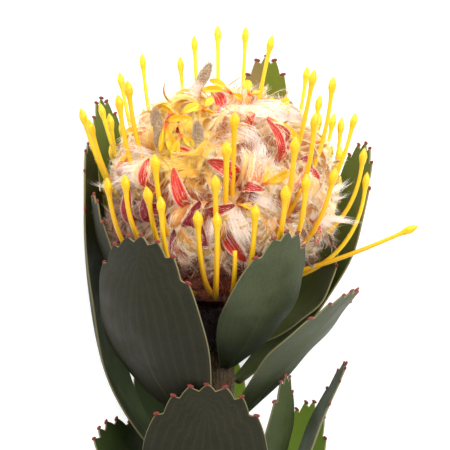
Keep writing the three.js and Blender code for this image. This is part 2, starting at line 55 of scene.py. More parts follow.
MM = 0.001
AXIS_HEIGHT = 47.0  # the flower's axis above the floor
ORIGIN = np.array([8.2, -9.4, 0.0])  # the frame's origin, from the axis and the stem's top
UP = np.array([0.0, 1.0, 0.0])
LEAN = np.radians(12.0)  # the view leans this far from straight down, towards the tips of the styles
VIEW_UP = np.array([0.0, np.cos(LEAN), -np.sin(LEAN)])  # the way up in the image
STEM_RADIUS = 4.6
STEM_TOP = 0.6
BLADE_THICKNESS = 0.8
GAP = 0.35  # between the stem and a leaf's foot
CLEARANCE = 0.02  # a leaf's least height above the floor
GOLDEN_ANGLE = 137.508
ROUNDS = 20  # enough for a height and its depth under the view to settle


def lerp(first: Any, second: Any, share: Any) -> Any:
    """The value that lies a share of the way from the first to the second."""
    return first + (second - first) * share


def unit(vectors: Array) -> Array:
    """The vectors along the last axis, each scaled to length 1."""
    return vectors / np.maximum(np.linalg.norm(vectors, axis=-1, keepdims=True), 1e-12)


def outward(azimuth: Any) -> Array:
    """The direction away from the flower's axis at each azimuth: cosine along X, sine along Z."""
    turn = np.radians(np.asarray(azimuth, float))
    return np.stack([np.cos(turn), np.zeros_like(turn), np.sin(turn)], axis=-1)


def stem_shift(y: Any) -> Array:
    """How far the stem's centreline has bent to the side at height y: 6 mm times (y/100) squared below 0."""
    return np.where(np.asarray(y) < 0, -6.0 * (np.asarray(y, float) / 100.0) ** 2, 0.0)


def axial(r: Any, y: Any, azimuth: Any) -> Array:
    """Points at a distance r from the axis, a height y along it and an azimuth round it."""
    r, y, azimuth = np.broadcast_arrays(np.asarray(r, float), y, azimuth)
    return outward(azimuth) * r[..., None] + np.stack([stem_shift(y), y, 0 * y + AXIS_HEIGHT], axis=-1)


def upright(up: Any, depth: Any, centre: float) -> Array:
    """Heights of points that show at a height up in the leaning view, a depth above the axis."""
    return centre + (up - centre + depth * np.sin(LEAN)) / np.cos(LEAN)


def circle(columns: int) -> Array:
    """The angles of a full turn in equal steps, in radians."""
    return np.linspace(0, 2 * np.pi, columns, endpoint=False)


def bezier(control: Array, u: Array) -> Array:
    """Points of cubic curves.

    Args:
        control: the four control points of each curve, as (..., 4, d).
        u: places along the curves, as (n,).

    Returns:
        The points as (..., n, d): the control points weighed by the four Bernstein polynomials of u.
    """
    v = 1.0 - u
    weights = np.stack([v**3, 3 * v**2 * u, 3 * v * u**2, u**3], axis=-1)
    return weights @ control


def leaning(start: Array, end: Array, lean0: Any, lean1: Any, reach: float) -> Array:
    """Control points of cubic curves in the plane of distance and height.

    Args:
        start: the curves' starts, as (..., 2).
        end: the curves' ends, as (..., 2).
        lean0: the angles from the axis at the starts, in degrees.
        lean1: the angles from the axis at the ends, in degrees.
        reach: the handles' length as a share of the distance from start to end.

    Returns:
        The control points as (..., 4, 2).
    """
    handle = reach * np.linalg.norm(end - start, axis=-1, keepdims=True)
    toward = [np.stack([np.sin(np.radians(a)), np.cos(np.radians(a))], -1) for a in (lean0, lean1)]
    return np.stack([start, start + toward[0] * handle, end - toward[1] * handle, end], axis=-2)


class Draw:
    """The part's own repeatable draws between 0 and 1."""

    FACTOR = 48271
    MODULUS = 2147483647

    def __init__(self, seed: int) -> None:
        """Starts the row of draws that belongs to a seed."""
        self.state = seed * 7919 + 13

    def __call__(self) -> float:
        """The next draw: the state times the factor, modulo the modulus."""
        self.state = (self.state * self.FACTOR) % self.MODULUS
        return self.state / self.MODULUS


@dataclass
class Patch:
    """Points, faces and point values that are part of one mesh."""

    points: Array
    quads: Array
    triangles: Array
    values: dict[str, Array] = field(default_factory=dict)

    @staticmethod
    def joined(patches: list["Patch"]) -> "Patch":
        """One patch of several.

        Args:
            patches: the patches.

        Returns:
            Their points one after another, with the faces renumbered. A value that one lacks is 0 there.
        """
        starts = np.cumsum([0] + [len(p.points) for p in patches])
        names = sorted({name for p in patches for name in p.values})
        blank = {name: [p.values.get(name, np.zeros(len(p.points))) for p in patches] for name in names}
        return Patch(
            np.concatenate([p.points for p in patches]),
            np.concatenate([p.quads + start for p, start in zip(patches, starts)]),
            np.concatenate([p.triangles + start for p, start in zip(patches, starts)]),
            {name: np.concatenate(parts) for name, parts in blank.items()},
        )


def tubes(rings: Array, start: Array, end: Array, values: dict[str, Any]) -> Patch:
    """Closed skins over rows of rings, with a pole at both ends.

    Args:
        rings: ring points as (count, rows, columns, 3), turning left as seen from the end.
        start: the pole before the first ring of each, as (count, 3).
        end: the pole after the last ring of each, as (count, 3).
        values: point values that broadcast to (count, rows, columns). A pole takes its ring's mean.

    Returns:
        The patch of all of them: quads between neighbouring rings and fans round the poles.
    """
    count, rows, columns = rings.shape[:3]
    size = rows * columns + 2
    first = np.arange(count)[:, None, None] * size
    grid = first + np.arange(rows)[None, :, None] * columns + np.arange(columns)[None, None, :]
    beside = np.roll(grid, -1, axis=2)
    quads = np.stack([grid[:, :-1], beside[:, :-1], beside[:, 1:], grid[:, 1:]], -1).reshape(-1, 4)
    poles = first[:, 0] + rows * columns + np.arange(2)[None, :]
    near = np.stack([np.broadcast_to(poles[:, :1], (count, columns)), beside[:, 0], grid[:, 0]], -1)
    far = np.stack([np.broadcast_to(poles[:, 1:], (count, columns)), grid[:, -1], beside[:, -1]], -1)
    points = np.concatenate([rings.reshape(count, -1, 3), start[:, None], end[:, None]], axis=1)
    filled = {}
    for name, value in values.items():
        whole = np.broadcast_to(value, (count, rows, columns))
        ends = np.stack([whole[:, 0].mean(-1), whole[:, -1].mean(-1)], axis=-1)
        filled[name] = np.concatenate([whole.reshape(count, -1), ends], axis=1).ravel()
    return Patch(
        points.reshape(-1, 3),
        quads,
        np.concatenate([near.reshape(-1, 3), far.reshape(-1, 3)]),
        filled,
    )


def turned(rings: Array, first: float, last: float, values: dict[str, Any]) -> Patch:
    """A closed skin over one row of rings, with its poles on the axis at two heights."""
    ends = axial(0.0, [first, last], 0.0)
    return tubes(rings[None], ends[:1], ends[1:], values)


def turned_about(vectors: Array, axes: Array, angle: Any) -> Array:
    """Vectors that stand square to unit axes, turned about them by an angle in degrees."""
    turn = np.radians(np.asarray(angle, float))[..., None]
    return vectors * np.cos(turn) + np.cross(axes, vectors) * np.sin(turn)


def framed(paths: Array, side: Array, twist: Any = 0.0) -> tuple[Array, Array, Array]:
    """Directions along paths, across them and square to both.

    Args:
        paths: centrelines as (count, rows, 3).
        side: the direction that across keeps to, for each path, as (count, 3).
        twist: how far across is turned about the path at each row, in degrees.

    Returns:
        The three directions as (count, rows, 3). The third is the path's direction crossed with across.
    """
    along = unit(np.gradient(paths, axis=1))
    across = unit(side[:, None] - np.sum(side[:, None] * along, -1, keepdims=True) * along)
    across = turned_about(across, along, np.broadcast_to(twist, paths.shape[:2]))
    return along, across, np.cross(along, across)


def swept(
    paths: Array, side: Array, sections: Array, values: dict[str, Any], twist: Any = 0.0
) -> Patch:
    """Closed skins carried along paths.

    Args:
        paths: centrelines as (count, rows, 3).
        side: the direction of the sections' first axis for each path, as (count, 3).
        sections: ring points as (..., columns, 2), that broadcast to (count, rows, columns, 2).
        values: point values that broadcast to (count, rows, columns).
        twist: how far the sections are turned about the path at each row, in degrees.

    Returns:
        The patch of all the skins.
    """
    _, across, face = framed(paths, side, twist)
    rings = (
        paths[:, :, None]
        + across[:, :, None] * sections[..., 0:1]
        + face[:, :, None] * sections[..., 1:2]
    )
    return tubes(rings, rings[:, 0].mean(1), rings[:, -1].mean(1), values)


def round_section(radii: Array, columns: int, flatten: float = 1.0) -> Array:
    """Rings of given radii, (..., columns, 2): cosine times the radius by sine times the flattened radius."""
    turn = circle(columns)
    return radii[..., None, None] * np.stack([np.cos(turn), flatten * np.sin(turn)], axis=-1)


def strap_section(widths: Array, thickness: Any, camber: float, columns: int) -> Array:
    """Flat closed sections, bowed like a gutter.

    Args:
        widths: the full widths, as (...).
        thickness: the full thickness, one for all or as (...).
        camber: how far the middle stands out from the edges, as a share of the width.
        columns: the number of points round a section.

    Returns:
        The sections as (..., columns, 2): an ellipse whose second axis is lowered by the camber times the
        square of the place across.
    """
    turn = circle(columns)
    across = np.cos(turn) * (widths / 2)[..., None]
    lift = np.sin(turn) * (np.broadcast_to(thickness, widths.shape) / 2)[..., None]
    bow = (camber * widths)[..., None] * (1 - np.cos(turn) ** 2)
    return np.stack([across, lift + bow], axis=-1)


def needles(roots: Array, tips: Array, width: float, tint: Array, middles: Any = None) -> Patch:
    """Fine three-sided hairs, straight or with one bend.

    Args:
        roots: where the hairs start, as (count, 3).
        tips: where they end in a point, as (count, 3).
        width: their width at the root. At the bend it is 0.8 of that.
        tint: one value a hair, as (count,).
        middles: where they bend, as (count, 3), if they do.

    Returns:
        The patch of all the hairs: a triangle at the root, quads up to a bend and triangles to the tip.
    """
    along = unit(tips - roots)
    side = unit(np.cross(along, np.roll(along, 1, axis=-1) + np.array([0.31, -0.17, 0.23])))
    turn = circle(3)[None, :, None]
    ring = side[:, None] * np.cos(turn) + np.cross(along, side)[:, None] * np.sin(turn)
    levels = [roots[:, None] + ring * (width / 2)]
    if middles is not None:
        levels.append(middles[:, None] + ring * (0.4 * width))
    points = np.concatenate([*levels, tips[:, None]], axis=1)
    size = points.shape[1]
    upper = size - 4
    first = np.arange(len(points))[:, None, None] * size
    sides = np.array([[0, 1, 4, 3], [1, 2, 5, 4], [2, 0, 3, 5]])[:upper]
    ends = np.array([[0, 1, 3], [1, 2, 3], [2, 0, 3]]) + upper
    faces = np.concatenate([ends, [[2, 1, 0]]])
    return Patch(
        points.reshape(-1, 3),
        (first + sides).reshape(-1, 4),
        (first + faces).reshape(-1, 3),
        {"tint": np.repeat(tint, size)},
    )


def mesh_of(name: str, patch: Patch, merge: bool = False) -> bpy.types.Mesh:
    """A Blender mesh of a patch, in metres in the frame, with its point values as attributes.

    Args:
        name: the mesh's name.
        patch: its points, in millimetres from the axis, and faces.
        merge: whether points that fall together become one.

    Returns:
        The mesh, shaded smooth.
    """
    mesh = bpy.data.meshes.new(name)
    corners = np.concatenate([patch.quads.ravel(), patch.triangles.ravel()])
    sizes = np.concatenate([np.full(len(patch.quads), 4), np.full(len(patch.triangles), 3)])
    mesh.vertices.add(len(patch.points))
    mesh.vertices.foreach_set("co", ((patch.points - ORIGIN) * MM).astype(np.float32).ravel())
    mesh.loops.add(len(corners))
    mesh.loops.foreach_set("vertex_index", corners.astype(np.int32))
    mesh.polygons.add(len(sizes))
    mesh.polygons.foreach_set("loop_start", (np.cumsum(sizes) - sizes).astype(np.int32))
    mesh.polygons.foreach_set("use_smooth", np.ones(len(sizes), bool))
    for key, value in patch.values.items():
        attribute = mesh.attributes.new(key, "FLOAT", "POINT")
        attribute.data.foreach_set("value", value.astype(np.float32))
    mesh.update(calc_edges=True)
    mesh.validate()
    if merge:
        work = bmesh.new()
        work.from_mesh(mesh)
        bmesh.ops.remove_doubles(work, verts=work.verts, dist=1e-7)
        bmesh.ops.dissolve_degenerate(work, edges=work.edges, dist=1e-8)
        work.to_mesh(mesh)
        work.free()
    return mesh


def add_piece(
    name: str, patch: Patch, finish: "Finish", nodes: list[str], merge: bool = False
) -> bpy.types.Object:
    """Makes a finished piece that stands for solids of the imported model.

    Args:
        name: the piece's name.
        patch: its points, faces and values.
        finish: its finish.
        nodes: the solids that it stands for.
        merge: whether points that fall together become one.

    Returns:
        The object, which rides on the flower's one body.
    """
    mesh = mesh_of(name, patch, merge)
    mesh.materials.append(finish.material())
    piece = bpy.data.objects.new(name, mesh)
    bpy.context.scene.collection.objects.link(piece)
    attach(piece, "root")
    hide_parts(*nodes)
    triangles = 2 * len(patch.quads) + len(patch.triangles)
    LOG.info("%s: %d triangles, stands for %s", name, triangles, ", ".join(nodes))
    return piece


class Wire:
    """A socket whose operators add Math nodes, so that shader maths reads as an expression."""

    def __init__(self, shading: "Shading", socket: bpy.types.NodeSocket) -> None:
        """Wraps an output socket of a node tree."""
        self.shading = shading
        self.socket = socket

    def _math(self, operation: str, *terms: Any) -> "Wire":
        """A Math node on the given terms."""
        return self.shading.node("ShaderNodeMath", {"operation": operation}, dict(enumerate(terms)))

    def __add__(self, other: Any) -> "Wire":
        """Sum."""
        return self._math("ADD", self, other)

    def __sub__(self, other: Any) -> "Wire":
        """Difference."""
        return self._math("SUBTRACT", self, other)

    def __rsub__(self, other: Any) -> "Wire":
        """Difference from a number."""
        return self._math("SUBTRACT", other, self)

    def __mul__(self, other: Any) -> "Wire":
        """Product."""
        return self._math("MULTIPLY", self, other)

    __radd__ = __add__
    __rmul__ = __mul__

    def wave(self) -> "Wire":
        """A half wave from 0 to 1 and back: half of 1 plus the sine."""
        return 0.5 + 0.5 * self._math("SINE", self)

    def clear(self, low: float, high: float) -> "Wire":
        """A smooth step: 0 below the low value, 1 above the high one."""
        inputs = {"Value": self, "From Min": low, "From Max": high}
        return self.shading.node("ShaderNodeMapRange", {"interpolation_type": "SMOOTHSTEP"}, inputs)


class Shading:
    """A material's node tree, built from expressions."""

    def __init__(self, name: str) -> None:
        """Starts an empty node tree with an output.

        Args:
            name: the material's name.
        """
        self.material = bpy.data.materials.new(name)
        self.material.use_nodes = True
        self.tree = self.material.node_tree
        self.tree.nodes.clear()
        self.output = self.tree.nodes.new("ShaderNodeOutputMaterial")

    def node(self, kind: str, settings: dict[str, Any], inputs: dict[Any, Any], output: Any = 0) -> Wire:
        """Adds a node.

        Args:
            kind: the node's type.
            settings: its properties, set first. The stops of a ramp are (place, colour) pairs.
            inputs: values or wires for its sockets, by name or number.
            output: the name or number of the socket that is wanted.

        Returns:
            That output socket.
        """
        node = self.tree.nodes.new(kind)
        for key, value in settings.items():
            if key == "stops":
                while len(node.color_ramp.elements) < len(value):
                    node.color_ramp.elements.new(0.5)
                for element, (place, colour) in zip(node.color_ramp.elements, value):
                    element.position = place
                    element.color = (*colour, 1.0)
            else:
                setattr(node, key, value)
        for key, value in inputs.items():
            if isinstance(value, Wire):
                self.tree.links.new(value.socket, node.inputs[key])
            elif isinstance(value, tuple) and len(value) == 3 and node.inputs[key].type == "RGBA":
                node.inputs[key].default_value = (*value, 1.0)
            else:
                node.inputs[key].default_value = value
        return Wire(self, node.outputs[output])

    def value(self, name: str) -> Wire:
        """A point value of the mesh."""
        settings = {"attribute_type": "GEOMETRY", "attribute_name": name}
        return self.node("ShaderNodeAttribute", settings, {}, "Fac")

    def place(self, stretch: Colour = (1.0, 1.0, 1.0)) -> Wire:
        """Object coordinates, scaled along each axis."""
        here = self.node("ShaderNodeTexCoord", {}, {}, "Object")
        return self.node("ShaderNodeMapping", {}, {"Vector": here, "Scale": stretch})

    def axis(self, name: str) -> Wire:
        """A point's place along X, to the flower's side, or Y, along its axis, in metres in the frame."""
        return self.node("ShaderNodeSeparateXYZ", {}, {0: self.place()}, name)

    def dusk(self, low: float, high: float, left: float) -> Wire:
        """Painted shade at the head's foot, which fades between two heights, and a share of it over the
        maroon lower left.
        """
        beside = left * (1 - self.axis("X").clear(-0.036, -0.02)) * (1 - self.axis("Y").clear(0.053, 0.066))
        return 1 - self.axis("Y").clear(low, high) * (1 - beside)

    def over_head(self, body: Wire, gold: Colour, dark: Colour, dusk: Wire) -> Wire:
        """A colour as it changes over the head, with painted light and shade.

        Args:
            body: the colour.
            gold: what it turns to in the golden patch, a little to the left of the top.
            dark: the painted shade that it turns to in the dusk.
            dusk: the share of the painted shade.

        Returns:
            The colour with those changes, and a painted highlight towards the upper right.
        """
        side, height = self.axis("X"), self.axis("Y")
        patch = side.clear(-0.036, -0.028) * (1 - side.clear(-0.017, -0.007)) * height.clear(0.06, 0.07)
        # Painted highlight: lighter towards the upper right, where the key light falls.
        painted_highlight = side.clear(0.0, 0.018) * height.clear(0.048, 0.062)
        body = self.mix(0.35 * painted_highlight, self.mix(0.85 * patch, body, gold), (1.0, 0.93, 0.6))
        return self.mix(dusk, body, dark)

    def noise(self, size: float, detail: float = 2.0, stretch: Colour = (1.0, 1.0, 1.0)) -> Wire:
        """Cloudy noise between about 0.3 and 0.7, whose patches measure a size in millimetres."""
        inputs = {"Vector": self.place(stretch), "Scale": 1.0 / (size * MM), "Detail": detail}
        return self.node("ShaderNodeTexNoise", {}, inputs, 0)

    def mix(self, factor: Any, first: Any, second: Any) -> Wire:
        """The first colour going over to the second."""
        return self.node("ShaderNodeMix", {"data_type": "RGBA"}, {0: factor, 6: first, 7: second}, 2)

    def ramp(self, factor: Wire, stops: list[tuple[float, Colour]]) -> Wire:
        """Colours along a ramp."""
        return self.node("ShaderNodeValToRGB", {"stops": stops}, {0: factor})

    def bump(self, height: Wire, depth: float, strength: float = 1.0) -> Wire:
        """A normal bent by a relief of a depth in millimetres."""
        inputs = {"Height": height, "Distance": depth * MM, "Strength": strength}
        return self.node("ShaderNodeBump", {}, inputs)

    def dressed(self, inputs: dict[str, Any], glow: Any = None, through: Any = None) -> bpy.types.Material:
        """Closes the tree.

        Args:
            inputs: values or wires of the Principled shader's sockets.
            glow: the colour of the light that shines through the thin tissue.
            through: the share of that light.

        Returns:
            The finished material.
        """
        surface = self.node("ShaderNodeBsdfPrincipled", {}, inputs)
        if through is not None:
            veil = self.node("ShaderNodeBsdfTranslucent", {}, {"Color": glow})
            surface = self.node("ShaderNodeMixShader", {}, {0: through, 1: surface, 2: veil})
        self.tree.links.new(surface.socket, self.output.inputs["Surface"])
        return self.material


@dataclass(frozen=True)
class Finish:
    """A finish that makes its material once, under its name."""

    name: str

    def material(self) -> bpy.types.Material:
        """The material, made at its first use."""
        return bpy.data.materials.get(self.name) or self.make(Shading(self.name))

    def make(self, shading: Shading) -> bpy.types.Material:
        """Builds the material in an empty node tree."""
        raise NotImplementedError


class LeafTone(Enum):
    """Lit and shaded copies of the leaf's colour for where a leaf stands: dark, light and inner colours,
    gloss, bronze tip and painted shadow.
    """

    # Each tone is the leaf's colour painted darker or lighter for how the light falls where the leaf stands:
    # painted shade on SHADED, painted light on the others, and on GLOWING the painted light that shines
    # through a back leaf. SCREENED adds a painted shadow over one side; OLIVE's bronze tip is the leaf's own
    # colour.
    SHADED = ((0.013, 0.012, 0.006), (0.034, 0.032, 0.018), (0.03, 0.045, 0.012), 0.14, 0, 0)
    GREYED = ((0.022, 0.031, 0.01), (0.085, 0.1, 0.045), (0.06, 0.09, 0.025), 0.3, 0, 0)
    GREEN = ((0.025, 0.036, 0.01), (0.06, 0.08, 0.025), (0.1, 0.135, 0.022), 0.2, 0, 0)
    GLOWING = ((0.08, 0.13, 0.01), (0.17, 0.27, 0.025), (0.18, 0.28, 0.025), 0.2, 0, 0)
    OLIVE = ((0.05, 0.085, 0.004), (0.11, 0.15, 0.01), (0.12, 0.19, 0.003), 0.18, 1, 0)
    SCREENED = ((0.06, 0.1, 0.008), (0.14, 0.21, 0.02), (0.15, 0.24, 0.012), 0.2, 0, 0.95)


@dataclass(frozen=True)
class LeafFinish(Finish):
    """Leathery blade: dark speckled green, a pale horny rim and dull red glands on the teeth."""

    tone: LeafTone

    def make(self, shading: Shading) -> bpy.types.Material:
        """Speckle, clouds and faint nerves over the tone, painted light and shade along the blade, rim by the
        distance from the edge, and glands.

        Args:
            shading: the empty node tree.

        Returns:
            The material.
        """
        dark, light, inner, gloss, worn, painted_shadow = self.tone.value
        edge = shading.value("edge")
        across = shading.value("across")
        along = shading.value("along")
        cloud = shading.noise(9.0, 3.0).clear(0.35, 0.65)
        speckle = shading.noise(0.5, 2.0).clear(0.42, 0.66)
        nerve = (38.0 * across + 1.2 * shading.noise(9.0, 1.0)).wave().clear(0.6, 1.0)
        # Lighter towards the tip and darker towards the base: painted light and shade for the light that
        # falls on a blade's upper part.
        body = shading.mix(0.3 * cloud + 0.3 * speckle + 0.4 * along.clear(0.1, 0.85), dark, light)
        body = shading.mix(shading.value("outer"), inner, body)
        body = shading.mix(0.03 * nerve, body, (0.2, 0.22, 0.1))
        bronze = worn * along.clear(0.82, 0.86) * (1 - 0.7 * across.clear(0.0, 0.25)) * (0.5 + 0.4 * cloud)
        body = shading.mix(bronze, body, (0.31, 0.19, 0.09))
        # Painted shadow over one side of the blade, for the tones that have one.
        body = shading.mix(painted_shadow * (1 - across.clear(0.1, 0.6)), body, (0.016, 0.026, 0.008))
        rib = (1 - shading.value("rib").clear(0.1, 0.9)) * (1 - along.clear(0.2, 0.8))
        body = shading.mix(0.2 * rib, body, (0.14, 0.15, 0.05))
        rim = 1 - edge.clear(0.12, 0.42)
        body = shading.mix(0.75 * rim, body, (0.27, 0.23, 0.11))
        body = shading.mix(0.9 * shading.value("gland").clear(0.25, 0.75), body, (0.24, 0.045, 0.035))
        relief = 0.6 * speckle + 0.5 * shading.noise(2.6, 2.0) + 0.12 * nerve
        inputs = {
            "Base Color": body,
            "Roughness": 0.5 + 0.16 * cloud - 0.1 * rim,
            "Specular IOR Level": gloss,
            "Normal": shading.bump(relief, 0.1, 0.6),
        }
        return shading.dressed(inputs, (0.2, 0.3, 0.03), 0.08)


@dataclass(frozen=True)
class StyleFinish(Finish):
    """Waxy golden style: deep orange at its root, lemon at the back, with a darker presenter tip."""

    name: str = "style_wax"

    def make(self, shading: Shading) -> bpy.types.Material:
        """Colour by the place along the style and round the head, painted shade deep in the head, and fine
        lengthwise grain.

        Args:
            shading: the empty node tree.

        Returns:
            The material.
        """
        along = shading.value("along")
        back = shading.value("back")
        tip = shading.value("tip")
        gold = shading.ramp(
            along,
            [(0.0, (0.58, 0.19, 0.004)), (0.45, (0.8, 0.38, 0.002)), (0.75, (0.84, 0.5, 0.002)),
             (1.0, (0.86, 0.58, 0.006))],
        )
        body = shading.mix(0.75 * back, gold, (0.86, 0.74, 0.03))
        # Painted shade: dark below a height, deep in the head at the receptacle's foot.
        body = shading.mix(1 - shading.axis("Y").clear(0.02, 0.028), body, (0.05, 0.014, 0.018))
        mottle = shading.noise(1.1, 2.0).clear(0.35, 0.7)
        body = shading.mix((0.16 + 0.34 * tip.clear(0.0, 0.4)) * mottle, body, (0.82, 0.35, 0.01))
        body = shading.mix(0.5 * tip.clear(0.55, 1.0), body, (0.62, 0.36, 0.02))
        inputs = {
            "Base Color": body,
            "Roughness": 0.3 + 0.14 * mottle,
            "Subsurface Weight": 0.25,
            "Subsurface Radius": (1.0, 0.5, 0.1),
            "Subsurface Scale": 0.0015,
            "Specular IOR Level": 0.4,
            "Coat Weight": 0.06,
            "Normal": shading.bump(shading.noise(0.8, 1.0), 0.06),
        }
        return shading.dressed(inputs)


@dataclass(frozen=True)
class WoolFinish(Finish):
    """Fuzzy perianth tissue, cream to salmon, with painted shade in its folds and at the head's foot, and a
    painted glow.
    """

    pale: Colour
    warm: Colour
    deep: Colour

    def make(self, shading: Shading) -> bpy.types.Material:
        """Tint by the piece, deeper on inner faces, deeper at the root as painted shade, streaked lengthwise.

        Args:
            shading: the empty node tree.

        Returns:
            The material.
        """
        tint = shading.value("tint")
        across = shading.value("across")
        streak = (34.0 * across + 10.0 * shading.noise(2.0, 2.0)).wave()
        cloud = shading.noise(4.0, 3.0).clear(0.35, 0.65)
        # Painted shade: the share of dark at the head's foot and its lower left.
        foot = shading.dusk(0.034, 0.054, 0.9)
        body = shading.mix((0.75 * tint + 0.4 * cloud - 0.1).clear(0.0, 1.0), self.pale, self.warm)
        body = shading.mix(0.3 * streak * cloud, body, self.warm)
        body = shading.mix(0.8 * tint.clear(0.8, 0.95), body, (0.82, 0.1, 0.07))
        body = shading.mix(0.75 * shading.value("inner"), body, self.deep)
        # Painted shade: the roots, down in the head's folds, turn deep orange.
        body = shading.mix(0.8 * (1 - shading.value("along").clear(0.0, 0.4)), body, self.deep)
        edge = across * across
        seam = edge.clear(0.5, 0.66) * (1 - edge.clear(0.72, 0.88)) * cloud
        body = shading.mix(0.55 * seam, body, (0.85, 0.14, 0.05))
        body = shading.mix(0.5 * edge.clear(0.8, 0.95), body, (0.99, 0.78, 0.62))
        shade = foot * (0.75 + 0.25 * cloud)
        # The golden patch, a painted highlight towards the upper right and the painted shade of the foot.
        body = shading.over_head(body, (0.98, 0.7, 0.06), (0.06, 0.008, 0.016), shade)
        inputs = {
            "Base Color": body,
            # Painted glow: the tissue gives off a little light of its own colour, standing in for light that
            # shines through it.
            "Emission Color": body,
            "Emission Strength": 0.1,
            "Roughness": 0.7,
            "Sheen Weight": 0.3,
            "Sheen Roughness": 0.4,
            "Specular IOR Level": 0.2,
            "Normal": shading.bump(0.6 * streak + cloud, 0.18),
        }
        return shading.dressed(inputs, self.warm, 0.4 * (1 - 0.95 * foot))


WOOL = WoolFinish("perianth_wool", (0.99, 0.85, 0.38), (0.97, 0.52, 0.06), (0.86, 0.23, 0.01))


@dataclass(frozen=True)
class StripedFinish(Finish):
    """The inner face of a split perianth: crimson with orange stripes and a pink downy rim."""

    name: str = "perianth_striped"

    def make(self, shading: Shading) -> bpy.types.Material:
        """Stripes by the place across, rim by its end, maroon by the tint.

        Args:
            shading: the empty node tree.

        Returns:
            The material.
        """
        across = shading.value("across")
        tint = shading.value("tint")
        waver = shading.noise(1.6, 1.0)
        stripe = (15.0 * across + 1.0 * waver).wave().clear(0.72, 1.0)
        red = shading.mix(tint, (0.56, 0.008, 0.008), (0.17, 0.004, 0.025))
        lines = shading.mix(tint, (0.93, 0.24, 0.04), (0.5, 0.04, 0.07))
        body = shading.mix(0.75 * stripe, red, lines)
        rim = (across * across).clear(0.55, 0.95)
        body = shading.mix(0.85 * rim, body, (0.95, 0.5, 0.42))
        body = shading.mix(0.5 * (1 - shading.value("along").clear(0.0, 0.35)), body, (0.75, 0.33, 0.14))
        inputs = {
            "Base Color": body,
            "Roughness": 0.38,
            "Specular IOR Level": 0.45,
            "Normal": shading.bump(stripe, 0.12),
        }
        return shading.dressed(inputs, (0.8, 0.05, 0.015), 0.12)


@dataclass(frozen=True)
class AntherFinish(Finish):
    """A spoon-shaped anther limb: clear yellow, orange to red at its foot."""

    name: str = "anther_limb"

    def make(self, shading: Shading) -> bpy.types.Material:
        """Red at the foot, orange, then yellow with a brown seam.

        Args:
            shading: the empty node tree.

        Returns:
            The material.
        """
        along = shading.value("along")
        across = shading.value("across")
        body = shading.ramp(
            along,
            [(0.0, (0.6, 0.03, 0.015)), (0.16, (0.8, 0.2, 0.02)), (0.34, (0.95, 0.54, 0.01)),
             (1.0, (0.98, 0.7, 0.015))],
        )
        seam = (1 - (across * across).clear(0.0, 0.05)) * along.clear(0.35, 0.5)
        body = shading.mix(0.45 * seam, body, (0.55, 0.2, 0.02))
        grain = shading.noise(0.7, 2.0)
        inputs = {
            "Base Color": shading.mix(0.25 * grain.clear(0.45, 0.7), body, (0.9, 0.36, 0.02)),
            "Roughness": 0.45,
            "Normal": shading.bump(grain, 0.12),
        }
        return shading.dressed(inputs, (0.95, 0.5, 0.02), 0.18)


@dataclass(frozen=True)
class HairFinish(Finish):
    """Silky hairs between two colours, with a painted glow."""

    first: Colour
    second: Colour
    through: float = 0.3
    painted_glow: float = 0.0
    foot: bool = False

    def make(self, shading: Shading) -> bpy.types.Material:
        """Colour by the hair's own tint, with a soft gloss, a painted glow and painted shade on the head.

        Args:
            shading: the empty node tree.

        Returns:
            The material.
        """
        body = shading.mix(shading.value("tint"), self.first, self.second)
        through: Any = self.through
        # Painted shade at the head's foot and lower left, a painted highlight towards the upper right and the
        # golden patch, for hairs on the head; less light shines through in the painted shade.
        if self.foot:
            shade = 0.92 * shading.dusk(0.03, 0.049, 0.8)
            body = shading.over_head(body, (1.0, 0.8, 0.18), (0.24, 0.05, 0.02), shade)
            through = through * (1 - 0.9 * shade)
        inputs = {
            "Base Color": body,
            "Roughness": 0.45,
            "Specular IOR Level": 0.5,
            # Painted glow: the hairs give off light of their own colour.
            "Emission Color": body,
            "Emission Strength": self.painted_glow,
        }
        return shading.dressed(inputs, self.first, through)


@dataclass(frozen=True)
class BudFinish(Finish):
    """The felt of an unopened floret: grey-brown mottled head on a peach stalk."""

    name: str = "bud_felt"

    def make(self, shading: Shading) -> bpy.types.Material:
        """Stalk to head by the place along it, with dark mottling.

        Args:
            shading: the empty node tree.

        Returns:
            The material.
        """
        head = shading.value("along").clear(0.45, 0.62)
        mottle = shading.noise(0.6, 3.0).clear(0.35, 0.7)
        felt = shading.mix(mottle, (0.52, 0.36, 0.2), (0.2, 0.12, 0.07))
        body = shading.mix(head, (0.95, 0.74, 0.6), felt)
        inputs = {"Base Color": body, "Roughness": 0.85, "Sheen Weight": 0.5}
        inputs["Normal"] = shading.bump(mottle, 0.25)
        return shading.dressed(inputs)


@dataclass(frozen=True)
class BractFinish(Finish):
    """Dark purple-brown bracts with a paler downy margin."""

    name: str = "bract_dark"

    def make(self, shading: Shading) -> bpy.types.Material:
        """Dark body, streaked lengthwise, with a lighter rim.

        Args:
            shading: the empty node tree.

        Returns:
            The material.
        """
        across = shading.value("across")
        cloud = shading.noise(2.5, 3.0).clear(0.35, 0.65)
        streak = (40.0 * across + 8.0 * cloud).wave()
        body = shading.mix(cloud, (0.035, 0.012, 0.018), (0.085, 0.035, 0.04))
        body = shading.mix(0.6 * (across * across).clear(0.55, 1.0), body, (0.22, 0.1, 0.09))
        inputs = {
            "Base Color": body,
            "Roughness": 0.7,
            "Sheen Weight": 0.3,
            "Normal": shading.bump(streak, 0.15),
        }
        return shading.dressed(inputs)


